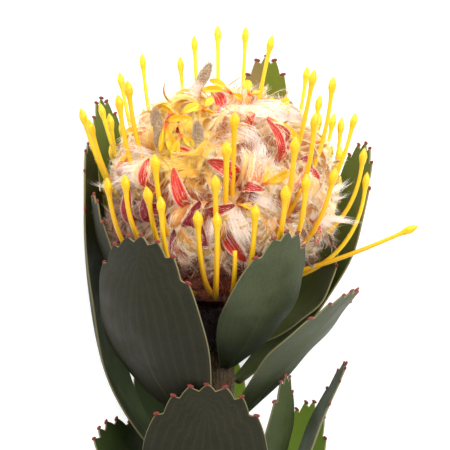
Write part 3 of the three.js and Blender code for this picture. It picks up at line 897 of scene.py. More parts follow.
@dataclass(frozen=True)
class BarkFinish(Finish):
    """The shoot's bark, olive to reddish brown under grey down, and the pale wood of the cut."""

    name: str = "stem_bark"

    def make(self, shading: Shading) -> bpy.types.Material:
        """Bark by long noise, and rings of wood with a brown pith on the cut.

        Args:
            shading: the empty node tree.

        Returns:
            The material.
        """
        cut = shading.value("cut")
        radius = shading.value("radius")
        grain = shading.noise(1.0, 4.0, (1.0, 0.18, 1.0))
        patches = shading.noise(7.0, 2.0).clear(0.35, 0.65)
        bark = shading.mix(grain.clear(0.35, 0.65), (0.07, 0.05, 0.03), (0.22, 0.17, 0.09))
        bark = shading.mix(0.6 * patches, bark, (0.2, 0.08, 0.05))
        rings = (26.0 * radius + 3.0 * grain).wave()
        wood = shading.mix(0.4 * rings, (0.72, 0.56, 0.33), (0.5, 0.36, 0.19))
        wood = shading.mix(1 - radius.clear(0.13, 0.2), wood, (0.36, 0.22, 0.1))
        inputs = {
            "Base Color": shading.mix(cut, bark, wood),
            "Roughness": 0.8,
            "Normal": shading.bump(grain, 0.4),
        }
        return shading.dressed(inputs)


@dataclass(frozen=True)
class LeafShape:
    """A leaf's place and form: heights and radii in millimetres, angles in degrees.

    The midrib leaves the stem at a height base and ends at tip_r from the axis and tip_y along it, leaning
    by lean_base and lean_tip from the axis at its ends. The blade is width wide and rolled to the radius
    cup, turned by roll along its length, swept sideways by sweep, with a number of teeth on each side.
    """

    name: str
    azimuth: float
    base: float
    tip_r: float
    tip_y: float
    lean_base: float
    lean_tip: float
    width: float
    cup: float
    roll: float
    sweep: float
    teeth: int
    tone: LeafTone


@dataclass
class Leaf:
    """One leaf: a rolled blade with a horny rim and glands on its teeth, and its finish."""

    shape: LeafShape
    widest_at: float = 0.62
    mid_end: float = 0.9
    base_share: float = 0.2
    notch: float = 2.0
    notch_phase: float = 0.24
    last_notch_phase: float = 0.5
    crowding: float = 0.58
    bed_softness: float = 1.8
    rows_below: int = 20
    phases: tuple[float, ...] = (0.05, 0.1, 0.17, 0.25, 0.36, 0.5, 0.64, 0.78, 0.89, 0.96, 1.0)
    rim_steps: tuple[float, ...] = (0.0, 0.12, 0.28, 0.5, 0.9, 1.4)
    inner_columns: int = 6
    gland: float = 0.62

    def control(self) -> Array:
        """The midrib's control points in the plane of distance and height.

        Returns:
            The points as (4, 2).
        """
        shape = self.shape
        start = np.array([STEM_RADIUS + GAP + BLADE_THICKNESS / 2, shape.base])
        end = np.array([shape.tip_r, shape.tip_y])
        return leaning(start, end, shape.lean_base, shape.lean_tip, 0.4)

    def surface(self, s: Array, a: Array) -> Array:
        """Points of the blade's middle surface.

        Args:
            s: shares of the way along the midrib.
            a: distances to the side of it, on the rolled blade.

        Returns:
            The points: the midrib's point, plus the cup radius times the sine of a/cup across and times 1
            minus its cosine inwards, both turned about the midrib by the roll times s. Below the floor the
            blade is pressed level by a smooth parabola.
        """
        shape = self.shape
        shares = s.ravel()
        at = bezier(self.control(), shares).reshape(*s.shape, 2)
        ahead = bezier(self.control(), shares + 1e-4) - bezier(self.control(), shares - 1e-4)
        along = unit(ahead).reshape(*s.shape, 2)
        azimuth = shape.azimuth + shape.sweep * s**2
        away = outward(azimuth)
        tangent = away * along[..., :1] + UP * along[..., 1:]
        inward = -away * along[..., 1:] + UP * along[..., :1]
        across = turned_about(outward(azimuth + 90), tangent, shape.roll * s)
        inward = turned_about(inward, tangent, shape.roll * s)
        base = np.stack(
            [stem_shift(shape.base) * (1 - s), at[..., 1], np.full(s.shape, AXIS_HEIGHT)], axis=-1
        )
        angle = (a / shape.cup)[..., None]
        point = away * at[..., :1] + base
        point = point + shape.cup * (across * np.sin(angle) + inward * (1 - np.cos(angle)))
        level = BLADE_THICKNESS / 2
        over = np.clip(point[..., 2] - level, -self.bed_softness, self.bed_softness)
        soft = level + (over + self.bed_softness) ** 2 / (4 * self.bed_softness)
        point[..., 2] = np.where(over >= self.bed_softness, point[..., 2], soft)
        return point

    def normals(self, s: Array, a: Array) -> Array:
        """The blade's outward normals: its slope along the midrib crossed with its slope across."""
        along = self.surface(s + 0.004, a) - self.surface(s - 0.004, a)
        return unit(np.cross(along, self.surface(s, a + 0.2) - self.surface(s, a - 0.2)))

    def outline(self) -> tuple[Array, Array, Array, Array]:
        """The blade's half outline.

        Below the widest place the reach swells as a quarter sine. Above it the edge is a quarter of an
        ellipse, cut by teeth that crowd towards the tip. A notch above each tooth but the first deepens
        quickly and fades as a power of the phase.

        Returns:
            For each row the midrib's share, the edge's share and reach, and the phase within its tooth.
        """
        shape = self.shape
        half = shape.width / 2
        part = np.linspace(0, 1, self.rows_below)
        low_s = self.widest_at * part
        low_a = half * lerp(self.base_share, 1, np.sin(np.pi / 2 * part**1.1))
        phase = np.tile(self.phases, shape.teeth)
        tooth = np.repeat(np.arange(shape.teeth), len(self.phases))
        low, high = (tooth / shape.teeth) ** self.crowding, ((tooth + 1) / shape.teeth) ** self.crowding
        part = lerp(low, high, phase)
        s = self.widest_at + (1 - self.widest_at) * np.sin(np.pi / 2 * part)
        a = half * np.maximum(np.cos(np.pi / 2 * part), 0) ** 0.9
        mid = lerp(self.widest_at, self.mid_end, part)
        foot = np.where(tooth == shape.teeth - 1, self.last_notch_phase, self.notch_phase)
        rise = np.clip(phase / foot, 0, 1)
        fall = np.clip((phase - foot) / (1 - foot), 0, 1)
        depth = np.where(phase < foot, rise**1.2 * (1.8 - 0.8 * rise), (1 - fall) ** 1.1) * (tooth > 0)
        cut = self.notch * depth / np.maximum(np.hypot(a, (s - mid) * self.length()), 1e-6)
        s = lerp(s, mid, cut)
        a = np.where(part >= 1, 0, a * (1 - cut))
        return (
            np.concatenate([low_s, mid]),
            np.concatenate([low_s, s]),
            np.concatenate([low_a, a]),
            np.concatenate([np.full(len(low_s), 0.5), phase]),
        )

    def length(self) -> float:
        """The midrib's length."""
        points = bezier(self.control(), np.linspace(0, 1, 201))
        return float(np.linalg.norm(np.diff(points, axis=0), axis=1).sum())

    def blade(self) -> Patch:
        """The closed blade: its outer face, the rim and its inner face as one ring for each row.

        Returns:
            Its patch.
        """
        mid, edge_s, edge_a, phase = self.outline()
        span = np.hypot(edge_a, (edge_s - mid) * self.length())[:, None]
        rim = np.array(self.rim_steps)[None]
        fill = lerp(self.rim_steps[-1], span, np.linspace(0, 1, self.inner_columns + 1)[None, 1:])
        inset = np.concatenate([np.broadcast_to(rim, (len(mid), rim.shape[1])), fill], axis=1)
        share = 1 - inset / span
        s = lerp(mid[:, None], edge_s[:, None], share)
        a = edge_a[:, None] * share
        order = np.concatenate([np.arange(s.shape[1]), np.arange(s.shape[1] - 2, -1, -1)])
        sign = np.where(np.arange(len(order)) < s.shape[1], 1.0, -1.0)
        back = np.arange(len(order) - 2, 0, -1)
        ring = np.concatenate([order, order[back]])
        ring_s, ring_e = s[:, ring], inset[:, ring]
        ring_a = a[:, ring] * np.concatenate([sign, sign[back]])
        side = np.concatenate([np.ones(len(order)), -np.ones(len(back))])[None]
        thick = np.interp(ring_e, [0, 0.12, 0.28, 0.5, 0.9, 1.4, 3], [0, 0.22, 0.32, 0.33, 0.3, 0.3, 0.34])
        ridge = np.exp(-((ring_a / 0.9) ** 2)) * (1 - 0.8 * ring_s)
        half = self.shape.width / 2
        ripple = 0.4 * (ring_a / half) ** 2 * np.sin(ring_s * 17 + 2.1 * np.sign(ring_a) + self.shape.azimuth)
        lift = side * thick + np.where(side > 0, 0.4, -0.12) * ridge + ripple
        rings = self.surface(ring_s, ring_a) + self.normals(ring_s, ring_a) * lift[..., None]
        rings[..., 2] = np.maximum(rings[..., 2], CLEARANCE)
        tooth = 7.0 * np.minimum(phase, 1 - phase)[:, None]
        near_tip = np.exp(-((tooth / 1.1) ** 2 + (ring_e / 1.2) ** 2))
        values = {
            "edge": ring_e,
            "rib": np.abs(ring_a),
            "outer": np.where(side > 0, 1.0, 0.0),
            "gland": 0.45 * near_tip,
            "across": ring_a / np.maximum(edge_a, 1.0)[:, None],
            "along": ring_s,
        }
        patch = tubes(rings[None], rings[None, 0].mean(1), rings[None, -1].mean(1), values)
        tail = len(patch.triangles) - rings.shape[1]
        return Patch(patch.points, patch.quads, patch.triangles[:tail], patch.values)

    def glands(self) -> Patch:
        """The glands: small blunt caps on the teeth, drawn out along the side that faces the notch.

        Returns:
            Their patch.
        """
        mid, edge_s, edge_a, phase = self.outline()
        picked = np.flatnonzero(phase == 1.0)
        beyond = np.minimum(picked + 3, len(phase) - 3)
        rows = np.concatenate([picked, picked[:-1]])
        ahead = np.concatenate([beyond, beyond[:-1]])
        sign = np.concatenate([np.ones(len(picked)), -np.ones(len(picked) - 1)])
        a = edge_a[rows] * sign
        edge = self.surface(edge_s[rows], a)
        out = unit(edge - self.surface(lerp(edge_s[rows], mid[rows], 0.2), a * 0.8))
        aim = unit(self.surface(edge_s[ahead], edge_a[ahead] * sign) - edge + 0.35 * out)
        normal = self.normals(np.minimum(edge_s[rows], 0.99), a)
        x = np.sin(np.linspace(-1, 1, 8)[1:-1] * np.pi / 2)
        radius = np.sqrt(1 - x**2) * self.gland
        centre = edge + out * 0.12 + aim * 0.45
        paths = centre[:, None] + aim[:, None] * (x * 1.9 * self.gland)[None, :, None]
        section = round_section(radius, 8) * np.array([1.0, 0.75])
        patch = swept(paths, unit(np.cross(normal, aim)), section[None], {"gland": 1.0})
        far = np.full(len(patch.points), 9.0)
        patch.values.update({"edge": far, "outer": np.ones(len(far)), "rib": far})
        patch.points[:, 2] = np.maximum(patch.points[:, 2], CLEARANCE)
        return patch

    def build(self) -> None:
        """Builds the leaf and dresses it."""
        patch = Patch.joined([self.blade(), self.glands()])
        node = f"leaf_{self.shape.name}"
        finish = LeafFinish(f"leaf_{self.shape.tone.name.lower()}", self.shape.tone)
        add_piece(f"{node}_blade", patch, finish, [node], merge=True)


# The tones give each leaf a lit or shaded copy of the leaf's colour: painted light and shade for where it
# stands.
LEAVES = [
    LeafShape("front_left", 129, -34, 48.5, 40.5, 61, -1, 50, 60, -12, -8, 4, LeafTone.SHADED),
    LeafShape("front_right", 70, -12.5, 47, 42, 56, 12, 29, 38, 14, -6, 3, LeafTone.GREYED),
    LeafShape("right_back", 334.5, -20, 53.5, 59, 55, 12, 32, 60, 0, 1.5, 4, LeafTone.GREEN),
    LeafShape("right_inner", 347, -9, 39.5, 26, 66, 8, 21, 50, 0, 0, 3, LeafTone.GREEN),
    LeafShape("right_low", 43, -33, 54, 21, 44, 39, 30, 50, 4, -3.5, 4, LeafTone.GREYED),
    LeafShape("low_front", 99.5, -86, 39.5, -8.5, 38, 12, 43, 57, 2, -3, 4, LeafTone.SHADED),
    LeafShape("low_left", 175.5, -73, 42, -34.5, 57, 36, 38, 80, -35, -1.5, 4, LeafTone.SHADED),
    LeafShape("left_tall", 220.5, -18.5, 54.5, 72.5, 63, 15, 21, 60, 0, -1, 4, LeafTone.GREEN),
    LeafShape("left_upper", 185, -56, 45, 61.5, 55, 0, 36, 50, -2, 2, 4, LeafTone.SHADED),
    LeafShape("left_inner", 163, -10, 43.5, 48, 62, 0, 22, 45, 0, 0, 3, LeafTone.SHADED),
    LeafShape("back_right", 287, -12, 52.5, 85.5, 60, 3, 26, 60, -1, 0, 4, LeafTone.OLIVE),
    LeafShape("back_left", 255.5, -14, 55, 62, 60, 0, 31, 60, 0, 0, 4, LeafTone.GREEN),
    LeafShape("back_low", 254.5, -66, 52, -10, 54, 8, 42, 70, 0, 0, 4, LeafTone.SCREENED),
    LeafShape("low_right_inner", 34.5, -76, 25, -13, 45, -2, 20, 41, 4, -2.5, 3, LeafTone.GREEN),
    LeafShape("low_right_edge", 1, -89, 42, -12.5, 44, 22, 25, 50, 1, -0.5, 4, LeafTone.GREYED),
    LeafShape("low_right_back", 318, -97, 43.5, -35, 50, 8, 27, 51, 0, 0, 4, LeafTone.GLOWING),
    LeafShape("low_back_left", 226, -90, 40, -46, 46, 24, 34, 80, 0, 0, 4, LeafTone.GREEN),
]


@dataclass
class Stem:
    """The woody shoot, bent a little to one side, with its cut end and its down."""

    cut_end: float = -118.0
    rows: int = 150
    columns: int = 36
    ridge: float = 0.14
    hairs: int = 3600

    def skin(self) -> Patch:
        """The shoot from its top to the cut: a round tube with shallow lengthwise ridges and nodes.

        Returns:
            Its patch.
        """
        y = np.concatenate([np.linspace(STEM_TOP, self.cut_end + 0.4, self.rows), [self.cut_end] * 4])
        inset = np.concatenate([np.ones(self.rows), [0.93, 0.66, 0.33, 0.1]])
        azimuth = np.arange(self.columns) * 360.0 / self.columns
        turn = np.radians(azimuth)[None]
        ridges = self.ridge * (np.sin(5 * turn + y[:, None] / 9) + 0.6 * np.sin(11 * turn - y[:, None] / 5))
        knots = 0.22 * np.exp(-(((y[:, None] + 14) % 17 - 8) ** 2) / 3) * (1 + np.sin(2 * turn + y[:, None]))
        radius = (STEM_RADIUS - 0.3 + ridges + knots) * inset[:, None]
        cut = np.where(np.arange(len(y)) >= self.rows, 1.0, 0.0)[:, None]
        values = {"cut": cut, "radius": radius / STEM_RADIUS}
        return turned(axial(radius, y[:, None], azimuth), STEM_TOP, self.cut_end, values)

    def down(self) -> Patch:
        """Short pale hairs that lean towards the flower.

        Returns:
            Their patch.
        """
        rng = np.random.default_rng(31)
        y = rng.uniform(self.cut_end + 1, -7, self.hairs)
        azimuth = rng.uniform(0, 360, self.hairs)
        root = axial(STEM_RADIUS - 0.3, y, azimuth)
        aim = unit(outward(azimuth) * 0.7 + UP * 0.8 + rng.normal(0, 0.35, (self.hairs, 3)))
        tip = root + unit(aim + UP * 0.5) * rng.uniform(0.8, 2.0, self.hairs)[:, None]
        return needles(root, tip, 0.09, rng.uniform(0, 1, self.hairs))

    def build(self) -> None:
        """Builds the shoot and its down."""
        add_piece("stem_shoot", self.skin(), BarkFinish(), ["stem"])
        down = HairFinish("stem_down", (0.75, 0.68, 0.55), (0.5, 0.36, 0.28))
        add_piece("stem_hairs", self.down(), down, ["stem"])


@dataclass
class Involucre:
    """The cup of short dark bracts under the head."""

    bottom: float = -7.0
    rim: float = 8.2
    around: int = 13
    rows: int = 6
    bract_length: float = 8.5
    bract_width: float = 6.2
    hairs: int = 4200

    def wall(self, y: Array) -> Array:
        """The cup's outer radius: it swells as a power of the height, from the stem to the rim.

        Args:
            y: heights along the axis.

        Returns:
            The radii there.
        """
        low = STEM_RADIUS + 0.77 + 1.4
        high = lerp(6.51, 10.5, (self.rim - STEM_TOP) / 11.4) + 0.7 + 4.8
        share = np.clip((np.asarray(y, float) - self.bottom) / (self.rim - self.bottom), 0, 1)
        return lerp(low, high, share**0.7)

    def cup(self) -> Patch:
        """The closed cup that the bracts stand on, as a turned profile.

        Returns:
            Its patch.
        """
        y = np.array([9.0, 8.8, 7.6, 5.0, 2.0, -1.0, -4.0, -6.4, -7.0, -7.0])
        r = np.concatenate([[5.0], self.wall(y[1:-1]) - 0.7, [3.0]])
        r[1] -= 2.0
        rings = axial(r[:, None], y[:, None], np.arange(40) * 9.0)
        return turned(rings, 9.0, -7.0, {"across": 0.0})

    def bracts(self) -> tuple[Patch, Array, Array, Array]:
        """The bracts: ovate straps laid up the cup, each row between those of the row below.

        Returns:
            Their patch, their centrelines, their widths along these and the azimuth of each.
        """
        rng = np.random.default_rng(17)
        row = np.repeat(np.arange(self.rows), self.around)
        count = len(row)
        azimuth = (np.tile(np.arange(self.around), self.rows) + 0.5 * (row % 2)) * 360 / self.around
        azimuth = azimuth + rng.uniform(-3, 3, count)
        foot = lerp(self.bottom + 0.2, self.rim - 4.6, row / (self.rows - 1))
        share = np.linspace(0, 1, 9)
        y = foot[:, None] + self.bract_length * rng.uniform(0.75, 0.98, count)[:, None] * share
        y = np.minimum(y, self.rim + 1.2 + 0.3 * share)
        r = self.wall(y) - 0.5 + 1.7 * share**1.5
        paths = axial(r, y, azimuth[:, None])
        widths = self.bract_width * np.sin(np.pi * (0.22 + 0.76 * share)) ** 0.8
        widths = np.maximum(widths, 0.25)[None] * rng.uniform(0.85, 1.05, count)[:, None]
        section = strap_section(widths, 0.55, -0.18, 12)
        patch = swept(paths, outward(azimuth + 90), section, {"across": np.cos(circle(12))})
        return patch, paths, widths, azimuth

    def down(self, paths: Array, widths: Array, azimuth: Array) -> Patch:
        """Silvery hairs along the bracts' margins, leaning up and out.

        Args:
            paths: the bracts' centrelines.
            widths: their widths along these.
            azimuth: the azimuth of each.

        Returns:
            Their patch.
        """
        rng = np.random.default_rng(19)
        pick = rng.integers(0, len(paths), self.hairs)
        step = rng.integers(2, paths.shape[1], self.hairs)
        sign = rng.choice([-1.0, 1.0], self.hairs)
        side = outward(azimuth[pick] + 90) * sign[:, None]
        root = paths[pick, step] + side * (0.46 * widths[pick, step])[:, None]
        scatter = rng.normal(0, 0.2, (self.hairs, 3))
        aim = unit(0.6 * side + 0.9 * UP + 0.35 * outward(azimuth[pick]) + scatter)
        tip = root + unit(aim + 0.3 * UP) * rng.uniform(1.2, 2.6, self.hairs)[:, None]
        return needles(root, tip, 0.08, rng.uniform(0, 1, self.hairs))

    def build(self) -> None:
        """Builds the cup with its bracts, and their down."""
        bracts, paths, widths, azimuth = self.bracts()
        add_piece(
            "involucre_bracts", Patch.joined([self.cup(), bracts]), BractFinish(), ["involucre"]
        )
        down = HairFinish("bract_down", (0.5, 0.36, 0.34), (0.2, 0.1, 0.11), 0.1)
        add_piece("involucre_hairs", self.down(paths, widths, azimuth), down, ["involucre"])


@dataclass
class Florets:
    """Where the florets stand: the styles' tips that are seen, and rings of them on the lower face."""

    centre: float = 50.0
    radius: float = 46.5
    half_height: float = 54.0
    power: float = 2.33
    wool_centre: float = 44.0
    presenter: float = 5.6
    seen: tuple[tuple[float, float, int], ...] = (
        (-46.5, 73.5, 1), (-43.5, 69.5, 1), (-41, 76, -1), (-34.5, 86.5, -1), (-30, 81, 1), (-33, 76.5, 1),
        (-27, 93, -1), (-14.5, 93, -1), (-9.5, 99.5, -1), (-1.5, 102.5, -1), (8, 102, -1), (16.5, 97, 1),
        (29, 89, -1), (29.5, 84.5, 1), (36, 83, 1), (33.5, 79.5, -1), (40.5, 71.5, -1), (44, 72, 1),
        (47, 60.5, 1), (48, 52.5, 1), (29.5, 70.5, 1), (23, 62.5, 1), (36, 53, 1), (26.5, 51, 1),
        (20, 47.5, 1), (10.5, 41.5, 1), (4, 70, 1), (1.5, 61, 1), (-2, 50.5, 1), (-1.5, 39, 1),
        (-7.5, 39.5, 1), (-19, 44, 1), (-23.5, 47, 1), (-21, 57, 1), (-36.5, 50, 1), (-30.5, 51, 1),
    )
    rings: tuple[float, ...] = (46.0, 57.0, 68.0)
    ring_from: float = 203.0
    ring_to: float = 344.0
    ring_count: int = 12
    seed: int = 7

    def dome(self, y: Array) -> Array:
        """The distance from the axis of the squarish dome of tips: a superellipse of the height."""
        rest = 1 - np.minimum(1, np.abs(y - self.centre) / self.half_height) ** self.power
        return self.radius * rest ** (1 / self.power)

    def places(self) -> Array:
        """The florets as rows of distance, height, azimuth, drift, flare and rise.

        A seen tip is given by how far it stands to the side and up in the leaning view. Its depth under the
        view is the rest of the dome's radius, found in a few rounds.

        Returns:
            The rows as (count, 6).
        """
        draw = Draw(self.seed)
        across, up, face = np.array(self.seen, float).T
        y = up.copy()
        for _ in range(ROUNDS):
            depth = face * np.sqrt(np.maximum(0, self.dome(y) ** 2 - across**2))
            y = upright(up, depth, self.wool_centre)
        azimuth = np.degrees(np.arctan2(depth, across))
        rows = list(zip(np.hypot(across, depth), y, azimuth))
        for ring, height in enumerate(self.rings):
            for i in range(self.ring_count):
                share = (i + 0.5 * (ring % 2) + 0.5 * draw()) / self.ring_count
                level = height + 5 * (draw() - 0.5)
                radius = float(self.dome(np.array(level))) * (0.92 + 0.04 * draw())
                rows.append((radius, level, lerp(self.ring_from, self.ring_to, share)))
        shifts = [(12 * (draw() - 0.5), lerp(4, 16, draw()), 6 * (draw() - 0.35)) for _ in rows]
        return np.hstack([np.array(rows), np.array(shifts)])

    def paths(self, u: Array) -> Array:
        """The styles' centrelines, up to the presenters' feet.

        Args:
            u: places along them, as (n,).

        Returns:
            The points as (count, n, 3): cubic curves out of the receptacle that bend up to the tips.
        """
        r, y, azimuth, drift, flare, rise = self.places().T
        neck = np.stack(
            [r - self.presenter * np.sin(np.radians(flare)), y - self.presenter * np.cos(np.radians(flare))],
            axis=-1,
        )
        polar = np.degrees(np.arctan2(r, y - 26))
        share = np.minimum(1, polar / 62)
        root = np.stack([np.minimum(1, polar / 26) * 7.9, lerp(35.4, 15, share) + rise], axis=-1)
        control = leaning(root, neck, lerp(0, 92, share**1.2), flare, 0.42)
        at = bezier(control, u)
        return axial(at[..., 0], at[..., 1], azimuth[:, None] + drift[:, None] * (1 - u[None]) ** 2)


@dataclass
class Styles:
    """The golden styles with their pollen presenters, on the receptacle in the middle of the head."""

    florets: Florets
    foot_radius: float = 0.98
    neck_radius: float = 0.72
    steps: int = 24
    columns: int = 10
    stray: tuple[tuple[float, float], ...] = ((5, 16), (28, 21), (45, 27.5), (60, 34.5))
    stray_azimuth: float = 10.0
    stump: tuple[tuple[float, float], ...] = ((5, 15), (30, 17), (38.5, 28), (39.5, 35))
    stump_azimuth: float = 84.0
    presenter_steps: tuple[float, ...] = (0.6, 1.3, 2.0, 2.7, 3.3, 3.9, 4.5, 5.0, 5.5, 5.85)
    presenter_radii: tuple[float, ...] = (1.06, 1.26, 1.42, 1.5, 1.46, 1.3, 1.04, 0.76, 0.42, 0.12)

    def stems(self, points: Array, seed: int, presenter: bool = True) -> Patch:
        """Round stems along centrelines, swelling into spindles past the neck.

        Args:
            points: the centrelines up to the neck, as (count, n, 3).
            seed: the seed of each one's small differences.
            presenter: whether they end in a presenter or in a blunt break.

        Returns:
            Their patch, with the place along, the place on the presenter and the share of lemon.
        """
        rng = np.random.default_rng(seed)
        count, n = points.shape[:2]
        neck = points[:, -1]
        aim = unit(neck - points[:, -2])
        shares = np.linspace(0, 1, n)
        radii = np.tile(lerp(self.foot_radius, self.neck_radius, shares), (count, 1))
        height = points[:, -1, 2] - AXIS_HEIGHT
        back = np.clip(0.5 - height / 60, 0, 1)
        tip = np.zeros(n)
        if presenter:
            steps = np.array(self.presenter_steps)
            beyond = neck[:, None] + aim[:, None] * steps[None, :, None]
            points = np.concatenate([points, beyond], axis=1)
            swell = np.array(self.presenter_radii)[None] * rng.uniform(0.9, 1.02, (count, 1))
            radii[:, -1] = 0.88
            radii = np.concatenate([radii, swell], axis=1) * lerp(1.1, 0.84, back)[:, None]
            tip = np.concatenate([tip, np.maximum(0, steps / self.presenter_steps[-1])])
        else:
            points = np.concatenate([points, neck[:, None] + aim[:, None] * 0.1], axis=1)
            radii = np.concatenate([radii, np.full((count, 1), 0.4)], axis=1)
            tip = np.concatenate([tip, [0.6]])
        middle = points[:, n // 2]
        turn = np.arctan2(middle[:, 2] - AXIS_HEIGHT, middle[:, 0])
        side = outward(np.degrees(turn) + 90)
        section = round_section(radii, self.columns, 0.92)
        lemon = np.clip(back + rng.uniform(-0.12, 0.12, count), 0, 1)
        length = np.concatenate([shares * 0.8, lerp(0.8, 1.0, tip[n:])])
        values = {
            "along": length[None, :, None],
            "tip": tip[None, :, None],
            "back": lemon[:, None, None],
        }
        return swept(points, side, section, values)

    def loose(self, points: tuple[tuple[float, float], ...], azimuth: float) -> Array:
        """A smooth centreline through a few given points of distance and height.

        Args:
            points: the points.
            azimuth: where it stands round the axis.

        Returns:
            The centreline as (1, n, 3).
        """
        given = np.array(points)
        t = np.linspace(0, 1, self.steps)
        spread = np.concatenate([[0], np.cumsum(np.linalg.norm(np.diff(given, axis=0), axis=1))])
        fit = [np.polyfit(spread / spread[-1], given[:, k], 3) for k in range(2)]
        r, y = np.polyval(fit[0], t), np.polyval(fit[1], t)
        return axial(r, y, azimuth)[None]

    def receptacle(self) -> Patch:
        """The firm cone that the florets stand on, as a turned profile from its top to its foot.

        Returns:
            Its patch.
        """
        y = np.array([41.6, 40, 35, 24, 12, 1.2])
        r = np.array([1.5, 4.0, 7.7, 10.0, 10.4, 6.5])
        rings = axial(r[:, None], y[:, None], np.arange(24) * 15.0)
        return turned(rings, 42.0, 0.95, {"along": 0.0, "tip": 0.0, "back": 0.0})

    def build(self) -> None:
        """Builds the styles and dresses them."""
        paths = self.florets.paths(np.linspace(0, 1, self.steps))
        patches = [
            self.receptacle(),
            self.stems(paths, 41),
            self.stems(self.loose(self.stray, self.stray_azimuth), 43),
            self.stems(self.loose(self.stump, self.stump_azimuth), 47, presenter=False),
        ]
        add_piece("styles_golden", Patch.joined(patches), StyleFinish(), ["styles"])


@dataclass
class WoolyHead:
    """The outline of the woolly head, and places on it."""

    centre: float = 44.0
    radius: float = 30.0
    top: float = 28.5
    drop: float = 33.0
    fullness: float = 0.5

    def outline(self, polar: Array) -> Array:
        """The outline at a polar angle from its top: an ellipse above its widest place, fuller below.

        Args:
            polar: the polar angles, in degrees.

        Returns:
            Distances and heights as (..., 2).
        """
        angle = np.radians(np.asarray(polar, float))
        around, height = np.sin(angle), np.cos(angle)
        above = height >= 0
        r = self.radius * np.where(above, around, np.maximum(around, 0) ** self.fullness)
        y = self.centre + np.where(above, self.top, self.drop) * height
        return np.stack([r, y], axis=-1)

    def spots(self, polar: Any, azimuth: Any) -> tuple[Array, Array, Array]:
        """Points of the head with their outward normals and their directions down it.

        Args:
            polar: the polar angles, in degrees.
            azimuth: the azimuths, in degrees.

        Returns:
            The three as (..., 3).
        """
        at = self.outline(polar)
        down = unit(self.outline(np.asarray(polar) + 1.0) - self.outline(np.asarray(polar) - 1.0))
        away = outward(azimuth)
        normal = -away * down[..., 1:] + UP * down[..., :1]
        south = away * down[..., :1] + UP * down[..., 1:]
        return axial(at[..., 0], at[..., 1], azimuth), normal, south

    def room(self, polar: Array) -> Array:
        """The share of their length that petals and hairs keep, less where the leaves clasp the head."""
        return lerp(1.0, 0.68, np.clip((polar - 60) / 45, 0, 1))

    def apart(self, places: Array, polar: float, azimuth: float) -> Array:
        """The angles between rows of polar angle and azimuth and one direction, in degrees.

        Args:
            places: rows of polar angle and azimuth.
            polar: the direction's polar angle.
            azimuth: its azimuth.

        Returns:
            The angles as (count,).
        """
        rows, single = (np.radians(np.atleast_2d(each)) for each in (places, [polar, azimuth]))
        both = np.sin(rows[:, 0]) * np.sin(single[:, 0]) * np.cos(rows[:, 1] - single[:, 1])
        return np.degrees(np.arccos(np.clip(both + np.cos(rows[:, 0]) * np.cos(single[:, 0]), -1, 1)))

    def seen(self, across: Array, up: Array, lift: Any) -> tuple[Array, Array]:
        """The places on the head under points that stand off it, found in a few rounds.

        Args:
            across: how far the points show to the side of the axis.
            up: how far up along it they show in the leaning view.
            lift: how far they stand off the head.

        Returns:
            The polar angles and the azimuths, in degrees.
        """
        shrink = self.radius / (self.radius + np.asarray(lift))
        across, up = across * shrink, self.centre + (up - self.centre) * shrink
        y = up.copy()
        for _ in range(ROUNDS):
            share = np.clip((y - self.centre) / np.where(y >= self.centre, self.top, self.drop), -1, 1)
            r = self.outline(np.degrees(np.arccos(share)))[..., 0]
            depth = np.sqrt(np.maximum(0.5, r**2 - across**2))
            y = upright(up, depth, self.centre)
        share = np.clip((y - self.centre) / np.where(y >= self.centre, self.top, self.drop), -1, 1)
        return np.degrees(np.arccos(share)), np.degrees(np.arctan2(depth, across))


def heading(normal: Array, angle: Array, free: bool = False) -> Array:
    """Directions along a surface that point, in the view, at an angle from the image's right.

    Args:
        normal: the surface's outward normals.
        angle: the angles in the view, in degrees.
        free: whether a direction that leads away from the surface is left as it is.

    Returns:
        The directions, less the part that leads into the surface, or also the part that leads out of it.
    """
    turn = np.radians(angle)
    aim = np.cos(turn)[:, None] * np.array([1.0, 0.0, 0.0]) + np.sin(turn)[:, None] * VIEW_UP
    outwards = np.sum(aim * normal, -1, keepdims=True)
    return unit(aim - (np.minimum(outwards, 0) if free else outwards) * normal)


